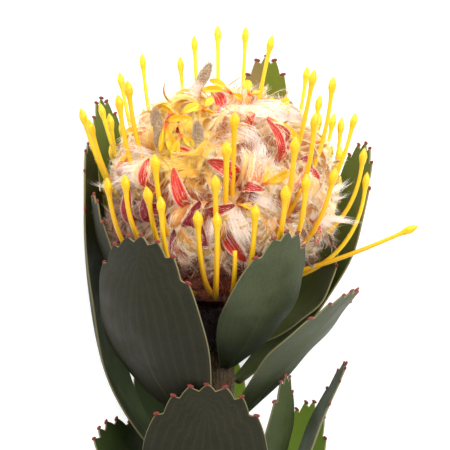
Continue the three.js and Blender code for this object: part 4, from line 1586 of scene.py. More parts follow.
@dataclass
class Ribbons:
    """Straps on the head: centrelines, sides, widths and twists at each row, tints and section."""

    paths: Array
    side: Array
    widths: Array
    tint: Array
    twist: Any = 0.0
    thickness: float = 0.6
    camber: float = 0.12
    inner: float = 1.0

    def frames(self) -> tuple[Array, Array, Array]:
        """The straps' directions along, across and out of their outer face, at every row."""
        return framed(self.paths, self.side, self.twist)

    def thickness_along(self) -> Array:
        """The thickness at each row, thinning to less than a half."""
        return np.broadcast_to(self.thickness * np.linspace(1, 0.4, self.paths.shape[1]), self.widths.shape)

    def on_face(self, own: Array, row: Array, slide: Array, x: Array, outer: Array) -> Array:
        """Points on the straps' faces.

        Args:
            own: the straps' numbers.
            row: the rows that the points lie beyond.
            slide: how far they lie beyond them, as a share of the way to the next.
            x: their places across, from -1 to 1.
            outer: 1 on the outer face and -1 on the inner one.

        Returns:
            The points: on the centreline, half the width times x across it, and lifted by the camber times
            the width and by the half thickness of an ellipse.
        """
        _, across, face = self.frames()
        width = self.widths[own, row]
        path = lerp(self.paths[own, row], self.paths[own, row + 1], slide[:, None])
        bow = self.camber * width * (1 - x**2)
        lift = bow + outer * 0.46 * self.thickness_along()[own, row] * np.sqrt(1 - x**2)
        return path + across[own, row] * (x * width / 2)[:, None] + face[own, row] * lift[:, None]

    def skin(self, columns: int) -> Patch:
        """The straps' skins, with values for the place across and along, the inner face and the tint.

        Args:
            columns: the number of points round a strap.

        Returns:
            Their patch.
        """
        section = strap_section(self.widths, self.thickness_along(), self.camber, columns)
        turn = circle(columns)
        values = {
            "across": np.cos(turn),
            "inner": np.where(np.sin(turn) < -0.1, self.inner, 0.0),
            "along": np.linspace(0, 1, self.paths.shape[1])[:, None],
            "tint": self.tint[:, None, None],
        }
        return swept(self.paths, self.side, section, values, self.twist)


@dataclass(frozen=True)
class PetalKind:
    """One kind of petal: how many, their ranges of width, length and bend, and their make."""

    count: int
    width: tuple[float, float]
    length: tuple[float, float]
    bend: tuple[float, float]
    seed: int
    rows: int
    columns: int
    sway: float
    lift: float
    thickness: float
    camber: float
    inner: float


BROAD = PetalKind(84, (3.0, 5.2), (11, 17), (100, 225), 23, 22, 10, 0.14, 0.0, 0.5, 0.16, 1.0)
NARROW = PetalKind(150, (1.3, 2.6), (11, 19), (80, 240), 31, 20, 8, 0.3, 1.0, 0.4, 0.18, 0.8)
STRAND = PetalKind(320, (0.45, 1.0), (10, 18), (60, 180), 37, 14, 6, 0.5, 2.0, 0.35, 0.1, 0.3)


@dataclass
class Perianths:
    """The split, curled and woolly flower tubes that pack the head, and their striped flaps."""

    head: WoolyHead
    florets: Florets
    curl_count: int = 50
    curl_radius: float = 5.4
    curl_width: float = 8.0
    curl_rise: float = 3.4
    curl_rows: int = 22
    straps: int = 3
    tongue_count: int = 22
    tongue_length: float = 10.0
    tongue_width: float = 4.2
    tongue_bend: float = 100.0
    tongue_rows: int = 16
    stalk_place: tuple[float, float] = (32.0, 148.0)
    stalk_room: float = 15.0

    def scattered(self, count: int, widest: float, seed: int, phase: float) -> Array:
        """Evenly scattered places as rows of polar angle, azimuth, turn and size, on a golden spiral.

        Args:
            count: how many places.
            widest: the greatest polar angle.
            seed: the seed of their scatter.
            phase: the spiral's first azimuth.

        Returns:
            The rows as (count, 4).
        """
        draw = Draw(seed)
        share = (np.arange(count) + 0.5) / count
        polar = np.degrees(np.arccos(1 - share * (1 - np.cos(np.radians(widest)))))
        draws = np.array([[draw(), draw(), draw(), draw()] for _ in range(count)])
        azimuth = phase + np.arange(count) * GOLDEN_ANGLE + 14 * (draws[:, 1] - 0.5)
        size = lerp(0.8, 1.15, draws[:, 3])
        return np.stack([polar + 6 * (draws[:, 0] - 0.5), azimuth, 360 * draws[:, 2], size], axis=-1)

    def curl(self, places: Array, share: Array, turn: Any = 225.0, slip: Any = 0.0) -> tuple[Array, Array]:
        """Centrelines of curls.

        Args:
            places: rows of polar angle, azimuth, turn and size.
            share: places along the coil, as (n,); 1 is the coil's end in the solids.
            turn: the coils' whole angles.
            slip: how far the coils' ends have slid to the side.

        Returns:
            The points as (count, n + 1, 3) and the straps' sides. The first point is sunk in the head. The
            others roll round a centre beside the place, on a radius that shrinks by 0.38 over the coil.
        """
        point, normal, south = self.head.spots(places[:, 0], places[:, 1])
        ahead = turned_about(south, normal, places[:, 2])
        radius = (self.curl_radius * places[:, 3])[:, None, None]
        centre = point + normal * self.curl_rise + ahead * radius[:, 0]
        angle = (np.radians(np.reshape(turn, (-1, 1))) * share)[..., None]
        r = radius * (1 - 0.38 * share[None, :, None])
        coil = centre[:, None] - ahead[:, None] * r * np.cos(angle) + normal[:, None] * r * np.sin(angle)
        side = np.cross(normal, ahead)
        coil = coil + side[:, None] * (np.reshape(slip, (-1, 1)) * share**1.5)[..., None]
        root = point - 3 * normal
        return np.concatenate([root[:, None], coil], axis=1), side

    def tongue(self, places: Array, rows: int, start: float, end: float) -> tuple[Array, Array]:
        """Centrelines of tongues: arcs that rise from the head and bend over from one angle to another.

        Args:
            places: rows of polar angle, azimuth, turn and size.
            rows: the number of steps.
            start: the first step's angle from the normal.
            end: the last step's.

        Returns:
            The points as (count, rows + 1, 3), of which the first is sunk in the head, and the straps' sides.
        """
        point, normal, south = self.head.spots(places[:, 0], places[:, 1])
        ahead = turned_about(south, normal, places[:, 2])
        angle = np.radians(np.linspace(start, end, rows))[None, :, None]
        length = self.tongue_length * places[:, 3] * 4 / 3
        step = normal[:, None] * np.cos(angle) + ahead[:, None] * np.sin(angle)
        points = np.cumsum(step, axis=1) * (length / rows)[:, None, None] + point[:, None]
        return np.concatenate([(point - 2 * normal)[:, None], points], axis=1), np.cross(normal, ahead)

    def settled(self) -> tuple[Array, Array]:
        """The places of the curls and tongues of the solids, each turned the way that keeps it clearest.

        Returns:
            The rows of the curls and those of the tongues.
        """
        taken = self.florets.paths(np.array([0.5, 0.58, 0.66, 0.74, 0.82])).reshape(-1, 3)
        curls = self.scattered(self.curl_count, 112, 3, 20)
        tongues = self.scattered(self.tongue_count, 104, 5, 81)
        for places, points_of in (
            (curls, lambda p: self.curl(p, np.linspace(0, 1, 5))[0]),
            (tongues, lambda p: self.tongue(p, 4, 0.1 * self.tongue_bend, 1.1 * self.tongue_bend)[0]),
        ):
            for place in places:
                turns = place[2] + np.arange(12) * 30.0
                tries = np.repeat(place[None], 12, axis=0)
                tries[:, 2] = turns
                points = points_of(tries)
                gaps = np.linalg.norm(points[:, :, None] - taken[None, None], axis=-1).min(axis=(1, 2))
                best = int(np.argmax(gaps))
                place[2] = turns[best]
                taken = np.concatenate([taken, points[best, 2:]])
        return curls, tongues

    def curls(self, places: Array) -> Ribbons:
        """The finished curls: each is split lengthwise into straps that part, slide, twist and taper.

        Args:
            places: rows of polar angle, azimuth, turn and size.

        Returns:
            The straps.
        """
        rng = np.random.default_rng(5)
        lane = np.tile(np.linspace(-1, 1, self.straps), len(places))
        places = np.repeat(places, self.straps, axis=0)
        size = places[:, 3].copy()
        count = len(places)
        places[:, 3] *= rng.uniform(0.8, 1.08, count)
        share = np.linspace(0, 1, self.curl_rows)
        slip = 1.6 * lane + rng.normal(0, 2.4, count)
        paths, side = self.curl(places, share, rng.uniform(150, 275, count), slip)
        paths = paths + side[:, None] * (0.27 * self.curl_width * lane * size)[:, None, None]
        full = np.concatenate([[0], share])
        waver = 0.12 * np.sin(rng.uniform(0, 6, (count, 1)) + rng.uniform(5, 10, (count, 1)) * full[None])
        swell = np.concatenate([[0.55], lerp(1.0, 0.68, share) * (1 - share**7)])
        width = self.curl_width * size * rng.uniform(0.3, 0.58, count)
        widths = width[:, None] * np.maximum(swell + waver * np.minimum(1, 5 - 5 * full), 0.08)
        twist = rng.normal(0, 34, (count, 1)) * full + rng.normal(0, 14, (count, 1)) + 14 * lane[:, None]
        return Ribbons(paths, side, widths, rng.beta(1.0, 1.4, count), twist, 0.55, 0.16)

    def petals(self, kind: PetalKind) -> Ribbons:
        """Petals between the curls that arch over, most of them outwards, and turn under at their ends.

        Args:
            kind: their kind.

        Returns:
            The petals, less those that would stand round the large bud's stalk.
        """
        rng = np.random.default_rng(kind.seed)
        places = self.scattered(kind.count, 118, kind.seed, 55.0 + kind.seed)
        places = places[self.head.apart(places, *self.stalk_place) > self.stalk_room]
        count = len(places)
        point, normal, south = self.head.spots(places[:, 0], places[:, 1])
        lie = 60 * np.sin(np.radians(2 * places[:, 1] + 3 * places[:, 0])) + rng.normal(0, 40, count)
        ahead = turned_about(south, normal, lie)
        side = np.cross(normal, ahead)
        share = np.linspace(0, 1, kind.rows)
        first, last = rng.uniform(0, 32, (count, 1)), rng.uniform(*kind.bend, (count, 1))
        angle = np.radians(lerp(first, last, share**1.4))[..., None]
        sway = (kind.sway * np.sin(rng.uniform(0, 6, (count, 1)) + 5.0 * share))[..., None]
        step = normal[:, None] * np.cos(angle) + ahead[:, None] * np.sin(angle) + side[:, None] * sway
        length = (rng.uniform(*kind.length, count) * self.head.room(places[:, 0]))[:, None, None]
        paths = (point + normal * (kind.lift - 1))[:, None] + np.cumsum(step, axis=1) * length / kind.rows
        swell = np.maximum(np.sin(np.pi * (0.16 + 0.84 * share)), 0.002) ** 0.6
        widths = rng.uniform(*kind.width, count)[:, None] * np.maximum(swell, 0.05)[None]
        twist = rng.normal(0, 40, (count, 1)) * share + rng.normal(0, 16, (count, 1))
        tint = rng.beta(1.1, 1.6, count)
        return Ribbons(paths, side, widths, tint, twist, kind.thickness, kind.camber, kind.inner)

    def core(self) -> Patch:
        """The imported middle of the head: the outline, heaved by waves of three sizes.

        Returns:
            Its patch.
        """
        polar, azimuth = np.linspace(4, 168, 56)[:, None], np.arange(96) * 3.75
        p, t = np.radians(polar), np.radians(azimuth)
        heave = 0.9 * np.sin(9 * p + 3 * t) * np.sin(5 * t - 4 * p) + 0.6 * np.sin(17 * p - 7 * t)
        heave = heave + 0.4 * np.sin(29 * p + 13 * t) - 0.9
        point, normal, _ = self.head.spots(polar, azimuth)
        rings = point + normal * heave[..., None] * np.sin(p)[..., None] ** 0.5
        values = {
            "tint": 0.7 + 0.3 * np.sin(heave),
            "inner": 0.5 + 0.2 * np.sin(7 * t) * np.cos(9 * p),
            "along": 0.3,
            "across": t / np.pi - 1,
        }
        return turned(rings, self.head.centre + self.head.top - 0.9, 11.0, values)

    def build(self) -> list[Ribbons]:
        """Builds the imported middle, the curls and the flaps, and returns the woolly ribbons.

        Returns:
            The curls, the three kinds of petal and the two kinds of flap.
        """
        places, tongues = self.settled()
        curls = self.curls(places)
        broad, narrow, strands = (self.petals(kind) for kind in (BROAD, NARROW, STRAND))
        # Painted shade: the middle, seen only between the curls, takes a darker copy of the wool, and its
        # inner value leans it further to the deep colour.
        core = WoolFinish("perianth_core_shaded", (0.8, 0.34, 0.07), (0.7, 0.22, 0.03), (0.5, 0.09, 0.01))
        add_piece("perianth_middle", self.core(), core, ["perianths"])
        petals = Patch.joined([broad.skin(BROAD.columns), narrow.skin(NARROW.columns)])
        add_piece("perianth_curls", curls.skin(10), WOOL, ["perianths"])
        add_piece("perianth_petals", petals, WOOL, ["perianths"])
        add_piece("perianth_strands", strands.skin(STRAND.columns), WOOL, ["perianths"])
        flaps = [self.ruled_flaps(tongues), self.seen_flaps()]
        striped = Patch.joined([flap.skin(16) for flap in flaps])
        add_piece("perianth_flaps", striped, StripedFinish(), ["perianths"])
        return [curls, broad, narrow, strands, *flaps]

    def ruled_flaps(self, tongues: Array) -> Ribbons:
        """The flaps that the solids have, in a tongue's outline: a power of a sine of the place along.

        Args:
            tongues: rows of polar angle, azimuth, turn and size.

        Returns:
            The flaps.
        """
        rng = np.random.default_rng(29)
        paths, side = self.tongue(tongues, self.tongue_rows, -6.7, 126.7)
        share = np.linspace(0, 1, self.tongue_rows + 1)
        widths = self.tongue_width * tongues[:, 3:4] * np.sin(np.pi * (0.14 + 0.85 * share))[None] ** 0.7
        return Ribbons(paths, side, widths, rng.uniform(0, 1, len(tongues)), 0.0, 0.55, -0.2)

    def seen_flaps(self) -> Ribbons:
        """The striped flaps that stand out in the view, each lying on the head on a low arch.

        Returns:
            The flaps.
        """
        across, up, angle, length, width, lift, tint = np.array(SEEN_FLAPS, float).T
        polar, azimuth = self.head.seen(across, up, lift + 4.5)
        point, normal, _ = self.head.spots(polar, azimuth)
        ahead = heading(normal, angle)
        share = np.linspace(0, 1, self.tongue_rows + 1)
        arch = lift[:, None] + 4.0 + 0.3 * length[:, None] * np.sin(np.pi * share)[None]
        arch = arch * np.minimum(1, 0.2 + 2.5 * share)[None]
        paths = (
            point[:, None]
            + ahead[:, None] * (1.25 * length[:, None] * share)[..., None]
            + normal[:, None] * arch[..., None]
        )
        widths = 1.15 * width[:, None] * np.sin(np.pi * (0.12 + 0.87 * share))[None] ** 0.65
        twist = np.where(across > 0, -1.0, 1.0)[:, None] * lerp(8.0, 42.0, share)[None]
        return Ribbons(paths, np.cross(normal, ahead), widths, tint, twist, 0.55, -0.2)


# The striped flaps seen from above: how far to the side of the axis and up along it in the leaning view
# their feet are, the way that they point in it, their length and width, how high they stand, and the share
# of maroon.
SEEN_FLAPS = [
    (-23.5, 44.5, 92, 9.5, 3.2, 3, 0.1),
    (-9.5, 38, 110, 13, 4.2, 3.5, 0.15),
    (-11.5, 30.5, 63, 11, 4.2, 3, 0.85),
    (7.5, 48.5, 152, 11, 4.8, 3.5, 0.1),
    (-7, 38, 18, 10, 3.6, 3.2, 0.5),
    (5, 47.5, -8, 7, 3.4, 3, 0.45),
    (19, 52, 100, 14, 2.6, 4.5, 0.15),
    (22.5, 60, 140, 8, 3, 4, 0.4),
    (-37.5, 41, 80, 7, 3.4, 1, 0.95),
    (-26, 32, 105, 12, 4.2, 1, 0.9),
    (-12, 20, 95, 11, 3.6, 1, 0.95),
    (-22, 33.5, 100, 9, 2.8, 1.5, 0.9),
    (-17, 27.5, 78, 9, 3, 1.5, 1),
    (-4, 24, 100, 9, 2.4, 1, 0.9),
    (24, 44, 60, 7.5, 3.2, 3, 0.3),
    (30, 46, 120, 7, 3, 2, 0.35),
    (8, 66, 70, 5.5, 3, 4, 0.05),
]


@dataclass
class Anthers:
    """The spoon-shaped limbs of opened flower tubes, in small stars at the ends of woolly claws."""

    head: WoolyHead
    rows: int = 14
    claw_rows: int = 10

    def centres(self) -> tuple[Array, list[tuple[tuple[float, float, float], ...]]]:
        """The stars' middles, and their limbs' angles in the view, lengths and widths.

        Returns:
            The middles as (count, 3), and a group of limbs for each.
        """
        across, up, depth = np.array([star[:3] for star in STARS], float).T
        points = np.stack([across, upright(up, depth, self.head.centre), depth + AXIS_HEIGHT], axis=-1)
        return points, [star[3] for star in STARS]

    def build(self) -> Ribbons:
        """Builds the limbs and the claws that carry them, and returns the claws.

        Returns:
            The claws.
        """
        centres, limbs = self.centres()
        owner = np.repeat(np.arange(len(limbs)), [len(group) for group in limbs])
        angle, length, width = np.array([limb for group in limbs for limb in group]).T
        middle = np.array([0.0, self.head.centre + 8, AXIS_HEIGHT])
        away = unit(centres - middle)
        normal = unit(away[owner] + np.array([0.0, 0.0, 0.9]))
        ahead = heading(normal, angle)
        share = np.linspace(0, 1, self.rows)
        rise = 0.5 + 0.16 * length[:, None] * np.sin(np.pi * share)[None]
        paths = (
            centres[owner][:, None]
            + ahead[:, None] * (length[:, None] * share)[..., None]
            + normal[:, None] * rise[..., None]
        )
        outline = 0.34 + 0.66 * np.sin(np.pi * np.clip((share - 0.3) / 0.72, 0, 1)) ** 0.8
        widths = 1.1 * width[:, None] * np.where(share > 0.97, 0.12, outline)[None]
        section = strap_section(widths, 0.7, -0.34, 12)
        values = {"across": np.cos(circle(12)), "along": share[:, None]}
        rng = np.random.default_rng(61)
        twist = rng.normal(0, 32, (len(angle), 1)) + rng.normal(0, 25, (len(angle), 1)) * share
        patch = swept(paths, np.cross(normal, ahead), section, values, twist)
        add_piece("perianth_anthers", patch, AntherFinish(), ["perianths"])
        return self.claws(centres, away)

    def claws(self, centres: Array, away: Array) -> Ribbons:
        """Narrow woolly straps from inside the head out to each star.

        Args:
            centres: the stars' middles.
            away: the directions that they face.

        Returns:
            The straps.
        """
        share = np.linspace(0, 1, self.claw_rows)
        foot = centres - away * (9 + 0.35 * np.linalg.norm(centres - centres.mean(0), axis=1))[:, None]
        bow = np.cross(away, UP) * 1.6
        paths = lerp(foot[:, None], centres[:, None], share[None, :, None])
        paths = paths + bow[:, None] * np.sin(np.pi * share)[None, :, None]
        widths = np.broadcast_to(lerp(3.4, 1.7, share), (len(centres), len(share)))
        tint = np.full(len(centres), 0.4)
        claws = Ribbons(paths, unit(np.cross(away, UP)), widths, tint, 0.0, 0.9, 0.1, 0.0)
        add_piece("perianth_claws", claws.skin(10), WOOL, ["perianths"])
        return claws


# The stars of anther limbs: how far to the side, up in the leaning view and above the axis their middles
# are, and for each limb the way that it points in the view, its length and its width.
STARS = [
    (-24.7, 66.7, 10, ((187, 8, 2.2), (250, 4, 1.8))),
    (-28, 60, 15, ((219, 9, 2.6), (170, 5, 2))),
    (-14, 69.8, 16, ((145, 7, 2.6), (29, 8, 2.6), (-17, 5, 2.2))),
    (-6, 72.2, 14, ((52, 5, 2.4), (175, 4, 1.8), (-30, 4, 1.8))),
    (3, 78, 5, ((176, 9.5, 2.3), (140, 8.5, 2.3), (-40, 4.5, 1.8))),
    (-18, 68, 19, ((-66, 13, 3.6), (-98, 10, 3), (12, 6, 2.4))),
    (-13, 64, 24, ((-104, 9, 3), (-40, 6, 2.4))),
    (14.5, 69.7, 19, ((-35, 13, 2.6),)),
    (12.3, 47.7, 33, ((25, 10, 3.2), (60, 5, 2.4))),
    (4.5, 42, 33.5, ((-5, 7, 2.4),)),
    (8.7, 77, 10, ((95, 5.5, 2.8), (30, 4, 1.8))),
    (17.5, 73.5, 6, ((35, 6, 2.3), (-10, 5, 2), (110, 3.5, 1.8))),
    (30, 62, 8, ((20, 5, 2), (-50, 4, 1.8))),
    (5, 70, -20, ((60, 6, 2.2), (170, 6, 2.2), (-40, 5, 2))),
    (-16, 66, -20, ((110, 6, 2.2), (210, 6, 2.2))),
    (20, 60, -20, ((10, 6, 2.2), (90, 5, 2.2))),
]


@dataclass
class Buds:
    """The unopened florets: furry spindles on stalks that stand out from the head."""

    head: WoolyHead
    radius: float = 1.9
    stalk: float = 1.2
    rows: int = 22
    columns: int = 14
    hairs: int = 1300
    places: tuple[tuple[float, float, float, float], ...] = (
        (30, 170, 24, 1.0), (54, 106, 14, 0), (60, 140, 14, 0.3), (50, 152, 14, 0.2), (40, 300, 13, 0),
    )
    stalk_feet: tuple[float, ...] = (2.2, 1.2, 1.2, 1.2, 1.2)

    def axes(self) -> tuple[Array, Array, Array]:
        """The buds' feet, directions and lengths.

        Returns:
            The three, with a row or number for each bud.
        """
        polar, azimuth, length, lean = np.array(self.places, float).T
        point, normal, _ = self.head.spots(polar, azimuth)
        along = unit(normal * 0.5 + UP + lean[:, None] * np.array([1.0, 0.0, 0.0]))
        return point, along, length

    def build(self) -> Patch:
        """Builds the buds and returns their fur.

        A bud's radius stays at the stalk's, swells as a smooth step over the last third, and closes as a
        root of the distance to its tip.

        Returns:
            The fur.
        """
        rng = np.random.default_rng(37)
        point, along, length = self.axes()
        share = np.linspace(0, 1, self.rows) ** 0.8
        distance = -4 + (length[:, None] + 4) * share
        to_tip = np.maximum(length[:, None] - distance, 0)
        swell = np.clip((9.0 - to_tip) / 4.0, 0, 1)
        swell = swell**2 * (3 - 2 * swell)
        stalks = lerp(self.stalk, np.array(self.stalk_feet)[:, None], np.clip(to_tip / 20, 0, 1))
        radii = lerp(stalks, self.radius, swell) * np.clip(to_tip / 4.6, 0, 1) ** 0.55
        radii = np.maximum(radii, 0.12)
        paths = point[:, None] + along[:, None] * distance[..., None]
        side = np.cross(along, outward(np.array(self.places)[:, 1]))
        along_value = np.clip(1 - to_tip / 16, 0, 1)
        values = {"along": along_value[..., None]}
        patch = swept(paths, side, round_section(radii, self.columns), values)
        add_piece("perianth_buds", patch, BudFinish(), ["perianths"])
        count = self.hairs * len(length)
        pick = np.repeat(np.arange(len(length)), self.hairs)
        row = rng.integers(3, self.rows - 1, count)
        turn = rng.uniform(0, 2 * np.pi, count)[:, None]
        across = unit(side[pick])
        other = np.cross(along[pick], across)
        out = across * np.cos(turn) + other * np.sin(turn)
        root = paths[pick, row] + along[pick] * rng.uniform(-0.6, 0.6, count)[:, None]
        root = root + out * radii[pick, row][:, None] * 0.9
        spread = out * rng.uniform(0.12, 0.42, count)[:, None]
        aim = unit(spread + along[pick] + rng.normal(0, 0.08, (count, 3)))
        size = rng.uniform(1.0, 2.4, count) * lerp(1.35, 0.8, along_value[pick, row])
        tint = np.clip(along_value[pick, row] * 1.3 - 0.2 + rng.uniform(-0.25, 0.25, count), 0, 1)
        return needles(root, root + aim * size[:, None], 0.09, tint)


@dataclass
class Down:
    """The silky hairs of the head: along the ribbons, out of its folds, and in long bright tufts."""

    head: WoolyHead
    width: float = 0.08
    lock: int = 5

    def on_ribbons(self, ribbons: Ribbons, count: int, low: float, high: float, seed: int) -> Patch:
        """Hairs that lie along ribbons and stand out at their edges.

        Args:
            ribbons: the ribbons that they grow on.
            count: how many hairs.
            low: the least length.
            high: the greatest length.
            seed: the seed of their scatter.

        Returns:
            Their patch.
        """
        rng = np.random.default_rng(seed)
        along, across, face = ribbons.frames()
        weight = ribbons.widths[:, 2:-1].sum(1)
        locks = count // self.lock
        lock_pick = rng.choice(len(weight), locks, p=weight / weight.sum())
        lock_row = rng.integers(1, ribbons.paths.shape[1] - 2, locks)
        lock_x = rng.uniform(-1, 1, locks)
        lock_x = np.where(rng.uniform(0, 1, locks) < 0.55, lock_x, np.sign(lock_x) * 0.95)
        lock_outer = np.where(rng.uniform(0, 1, locks) < 0.8, 1.0, -1.0)
        lock_tint = np.clip(0.25 * ribbons.tint[lock_pick] + rng.beta(0.4, 1.0, locks) - 0.12, 0, 1)

        centre = ribbons.on_face(lock_pick, lock_row, np.full(locks, 0.5), lock_x, lock_outer)
        comb = 0.4 * np.sin(4.0 * lock_x + 1.7 * lock_pick + 0.5 * lock_row) + 0.5 * lock_x
        out = face[lock_pick, lock_row] * (lock_outer * rng.uniform(0.02, 0.4, locks))[:, None]
        aim = unit(along[lock_pick, lock_row] + out + across[lock_pick, lock_row] * comb[:, None])
        size = rng.uniform(low, high, locks) * lerp(0.75, 1.25, np.abs(lock_x))
        lock = np.repeat(np.arange(locks), self.lock)
        total = len(lock)
        x = np.clip(lock_x[lock] + rng.normal(0, 0.22, total), -1, 1)
        row = np.clip(lock_row[lock] + rng.integers(-1, 2, total), 1, ribbons.paths.shape[1] - 2)
        root = ribbons.on_face(lock_pick[lock], row, rng.uniform(0, 1, total), x, lock_outer[lock])
        reach = size[lock] * rng.uniform(0.6, 1.1, total)
        tip = root + aim[lock] * reach[:, None]
        tip = lerp(tip, centre[lock] + aim[lock] * size[lock][:, None], 0.3) + rng.normal(0, 0.16, (total, 3))
        tint = np.clip(lock_tint[lock] + rng.normal(0, 0.08, total), 0, 1)
        return needles(root, tip, self.width, tint)

    def from_folds(self, count: int, low: float, high: float, seed: int) -> Patch:
        """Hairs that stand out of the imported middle, mostly swept to one side in each neighbourhood.

        Args:
            count: how many hairs.
            low: the least length.
            high: the greatest length.
            seed: the seed of their scatter.

        Returns:
            Their patch.
        """
        rng = np.random.default_rng(seed)
        polar = np.degrees(np.arccos(rng.uniform(np.cos(np.radians(150)), 1, count)))
        azimuth = rng.uniform(0, 360, count)
        point, normal, south = self.head.spots(polar, azimuth)
        comb = 180 * np.sin(np.radians(3 * azimuth + 2 * polar)) + rng.normal(0, 40, count)
        sweep = turned_about(south, normal, comb)
        aim = unit(normal * rng.uniform(0.3, 1.0, count)[:, None] + sweep * 0.9)
        size = (rng.uniform(low, high, count) * self.head.room(polar))[:, None]
        tint = rng.beta(0.7, 1.2, count)
        return needles(point, point + aim * size, self.width, tint)

    def tufts(self, seed: int) -> Patch:
        """Long bright wisps that run together towards their tips.

        Args:
            seed: the seed of their scatter.

        Returns:
            Their patch.
        """
        rng = np.random.default_rng(seed)
        across, up, angle, length, spread, lift, count = np.array(TUFTS, float).T
        polar, azimuth = self.head.seen(across, up, lift)
        point, normal, _ = self.head.spots(polar, azimuth)
        ahead = heading(normal, angle, free=True)
        pick = np.repeat(np.arange(len(TUFTS)), count.astype(int))
        total = len(pick)
        side = np.cross(normal, ahead)[pick]
        fan = rng.normal(0, 0.5, total)[:, None] * spread[pick][:, None]
        deep = rng.uniform(-3.5, 1.0, total)[:, None]
        back = rng.uniform(0, 0.35, total)[:, None]
        size = (length[pick] * rng.uniform(0.6, 1.0, total))[:, None]
        foot = point[pick] + normal[pick] * (lift[pick][:, None] + deep)
        root = foot + side * fan + ahead[pick] * size * back
        middle = root + ahead[pick] * size * 0.5 + side * fan * 0.3 + normal[pick] * (0.16 * size)
        tip = root + ahead[pick] * size - side * fan * 0.45 + rng.normal(0, 0.5, (total, 3))
        tint = rng.beta(0.45, 1.5, total)
        return needles(root, tip, 1.15 * self.width, tint, middle)

    def build(self, ribbons: list[Ribbons], claws: Ribbons, fur: Patch) -> None:
        """Builds the hairs of the whole head.

        Args:
            ribbons: the head's ribbons, as Perianths builds them.
            claws: the anthers' claws.
            fur: the buds' fur.
        """
        curls, broad, narrow, strands, ruled, seen = ribbons
        silk = HairFinish("perianth_silk", (1.0, 0.97, 0.88), (0.98, 0.67, 0.24), 0.5, 0.36, True)
        wisps = HairFinish("perianth_wisp", (1.0, 0.98, 0.93), (0.9, 0.5, 0.34), 0.5, 0.35)
        grey = HairFinish("bud_fur", (0.93, 0.66, 0.5), (0.5, 0.38, 0.24), 0.2, 0.08)
        groups = {
            "perianth_curl_hairs": [self.on_ribbons(curls, 38000, 2.0, 5.2, 51)],
            "perianth_petal_hairs": [
                self.on_ribbons(broad, 20000, 1.8, 4.8, 52),
                self.on_ribbons(narrow, 16000, 1.4, 4.0, 58),
                self.on_ribbons(strands, 9000, 1.0, 2.8, 59),
            ],
            "perianth_fold_hairs": [
                self.from_folds(9000, 4.0, 9.0, 53),
                self.on_ribbons(claws, 2200, 1.2, 2.8, 54),
                self.on_ribbons(ruled, 1500, 0.7, 1.6, 55),
                self.on_ribbons(seen, 3200, 0.9, 2.2, 56),
            ],
        }
        for name, patches in groups.items():
            add_piece(name, Patch.joined(patches), silk, ["perianths"])
        add_piece("perianth_wisps", self.tufts(57), wisps, ["perianths"])
        add_piece("perianth_bud_fur", fur, grey, ["perianths"])


# The long wisps: how far to the side and up in the leaning view their feet are, the way that they point,
# their length, spread and height above the head, and how many hairs they have.
TUFTS = [
    (-24, 55, 196, 12, 2.8, 6, 60),
    (-28, 52, 212, 10, 2.4, 5, 60),
    (-22, 58, 170, 11, 2.4, 6, 50),
    (1, 76, -28, 14, 3.4, 7, 190),
    (5, 72, -22, 14, 3.4, 7, 170),
    (10, 74, -30, 12, 3, 6.5, 150),
    (14, 69, -38, 10, 3, 7, 120),
    (5, 67, -55, 11, 2.8, 7, 110),
    (-6, 62, -70, 10, 2.4, 6, 80),
    (13, 62, 250, 11, 2.4, 7, 110),
    (17, 57, 235, 9, 2.4, 7, 90),
    (8, 44, -24, 12, 2.4, 6, 100),
    (34, 42, 25, 9, 2, 4, 40),
    (37, 37, -8, 10, 1.8, 3, 40),
    (29, 39, -35, 9, 2.4, 4, 80),
    (-2, 40, 262, 12, 2.4, 5, 90),
    (3, 39, -62, 13, 2.6, 5, 110),
    (-14, 31, 200, 8, 2, 4, 60),
    (-34, 46, 160, 9, 2.2, 4, 70),
    (30, 38, -8, 14, 1.8, 4, 90),
    (31, 44, 28, 11, 1.6, 4, 80),
    (2.5, 41.5, -75, 13, 3, 5.5, 160),
]


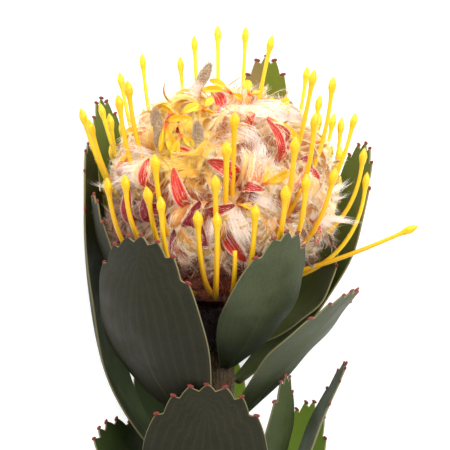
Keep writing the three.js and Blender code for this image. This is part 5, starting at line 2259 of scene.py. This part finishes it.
@dataclass
class Studio:
    """The pale floor, the soft lights and the camera that looks down on the flower."""

    target: tuple[float, float, float] = (-7.2, 44.4, 47.0)
    distance: float = 0.7
    lens: float = 168.0
    floor_half: float = 3.0

    def floor(self) -> None:
        """A wide white floor."""
        half = self.floor_half
        corners = [(-half, -half, 0), (half, -half, 0), (half, half, 0), (-half, half, 0)]
        mesh = bpy.data.meshes.new("floor")
        mesh.from_pydata(corners, [], [(0, 1, 2, 3)])
        shading = Shading("floor_white")
        tone = shading.mix(0.1 * shading.noise(30.0, 2.0), (0.9, 0.9, 0.9), (0.88, 0.88, 0.88))
        white = {"Base Color": tone, "Roughness": 0.9, "Emission Color": tone, "Emission Strength": 0.35}
        mesh.materials.append(shading.dressed(white))
        floor = bpy.data.objects.new("floor", mesh)
        bpy.context.scene.collection.objects.link(floor)

    def camera(self) -> None:
        """The camera: it leans from straight down towards the tips, with +X to the image's right."""
        back, up = Vector((0.0, np.sin(LEAN), np.cos(LEAN))), Vector(VIEW_UP)
        data = bpy.data.cameras.new("view")
        data.lens = self.lens
        data.sensor_width = 36.0
        data.clip_start = 0.05
        data.clip_end = 20.0
        camera = bpy.data.objects.new("view", data)
        turn = Matrix((Vector((1.0, 0.0, 0.0)), up, back)).transposed().to_4x4()
        centre = Vector(self.target) * MM
        camera.matrix_world = Matrix.Translation(centre + back * self.distance) @ turn
        bpy.context.scene.collection.objects.link(camera)
        bpy.context.scene.camera = camera

    def light(self, name: str, place: tuple[float, float, float], size: float, watts: float) -> None:
        """A soft square light that shines on the flower.

        Args:
            name: its name.
            place: where it stands, in metres from the middle of the view.
            size: the length of its side, in metres.
            watts: its power.
        """
        data = bpy.data.lights.new(name, "AREA")
        data.energy = watts
        data.size = size
        lamp = bpy.data.objects.new(name, data)
        centre = Vector(self.target) * MM
        lamp.location = centre + Vector(place)
        lamp.rotation_euler = (-Vector(place)).to_track_quat("-Z", "Y").to_euler()
        bpy.context.scene.collection.objects.link(lamp)

    def build(self) -> None:
        """Builds the studio."""
        self.floor()
        self.camera()
        self.light("key", (0.65, 0.7, 0.95), 0.6, 14.0)
        self.light("rim", (-0.35, 1.1, 0.3), 0.6, 9.0)
        self.light("fill", (-0.5, -0.6, 1.1), 0.9, 2.0)
        world = bpy.data.worlds.new("studio")
        world.use_nodes = True
        sky = world.node_tree.nodes["Background"]
        sky.inputs["Color"].default_value = (1.0, 1.0, 1.0, 1.0)
        sky.inputs["Strength"].default_value = 0.8
        bpy.context.scene.world = world
        bpy.context.scene.view_settings.view_transform = "Standard"


def main() -> None:
    """Builds the studio and the flower, from the stem up to the hairs of the head."""
    logging.basicConfig(level=logging.INFO, format="%(message)s")
    Studio().build()
    Stem().build()
    for shape in LEAVES:
        Leaf(shape).build()
    Involucre().build()
    florets = Florets()
    head = WoolyHead()
    Styles(florets).build()
    ribbons = Perianths(head, florets).build()
    claws = Anthers(head).build()
    Down(head).build(ribbons, claws, Buds(head).build())


if __name__ == "__main__":
    main()
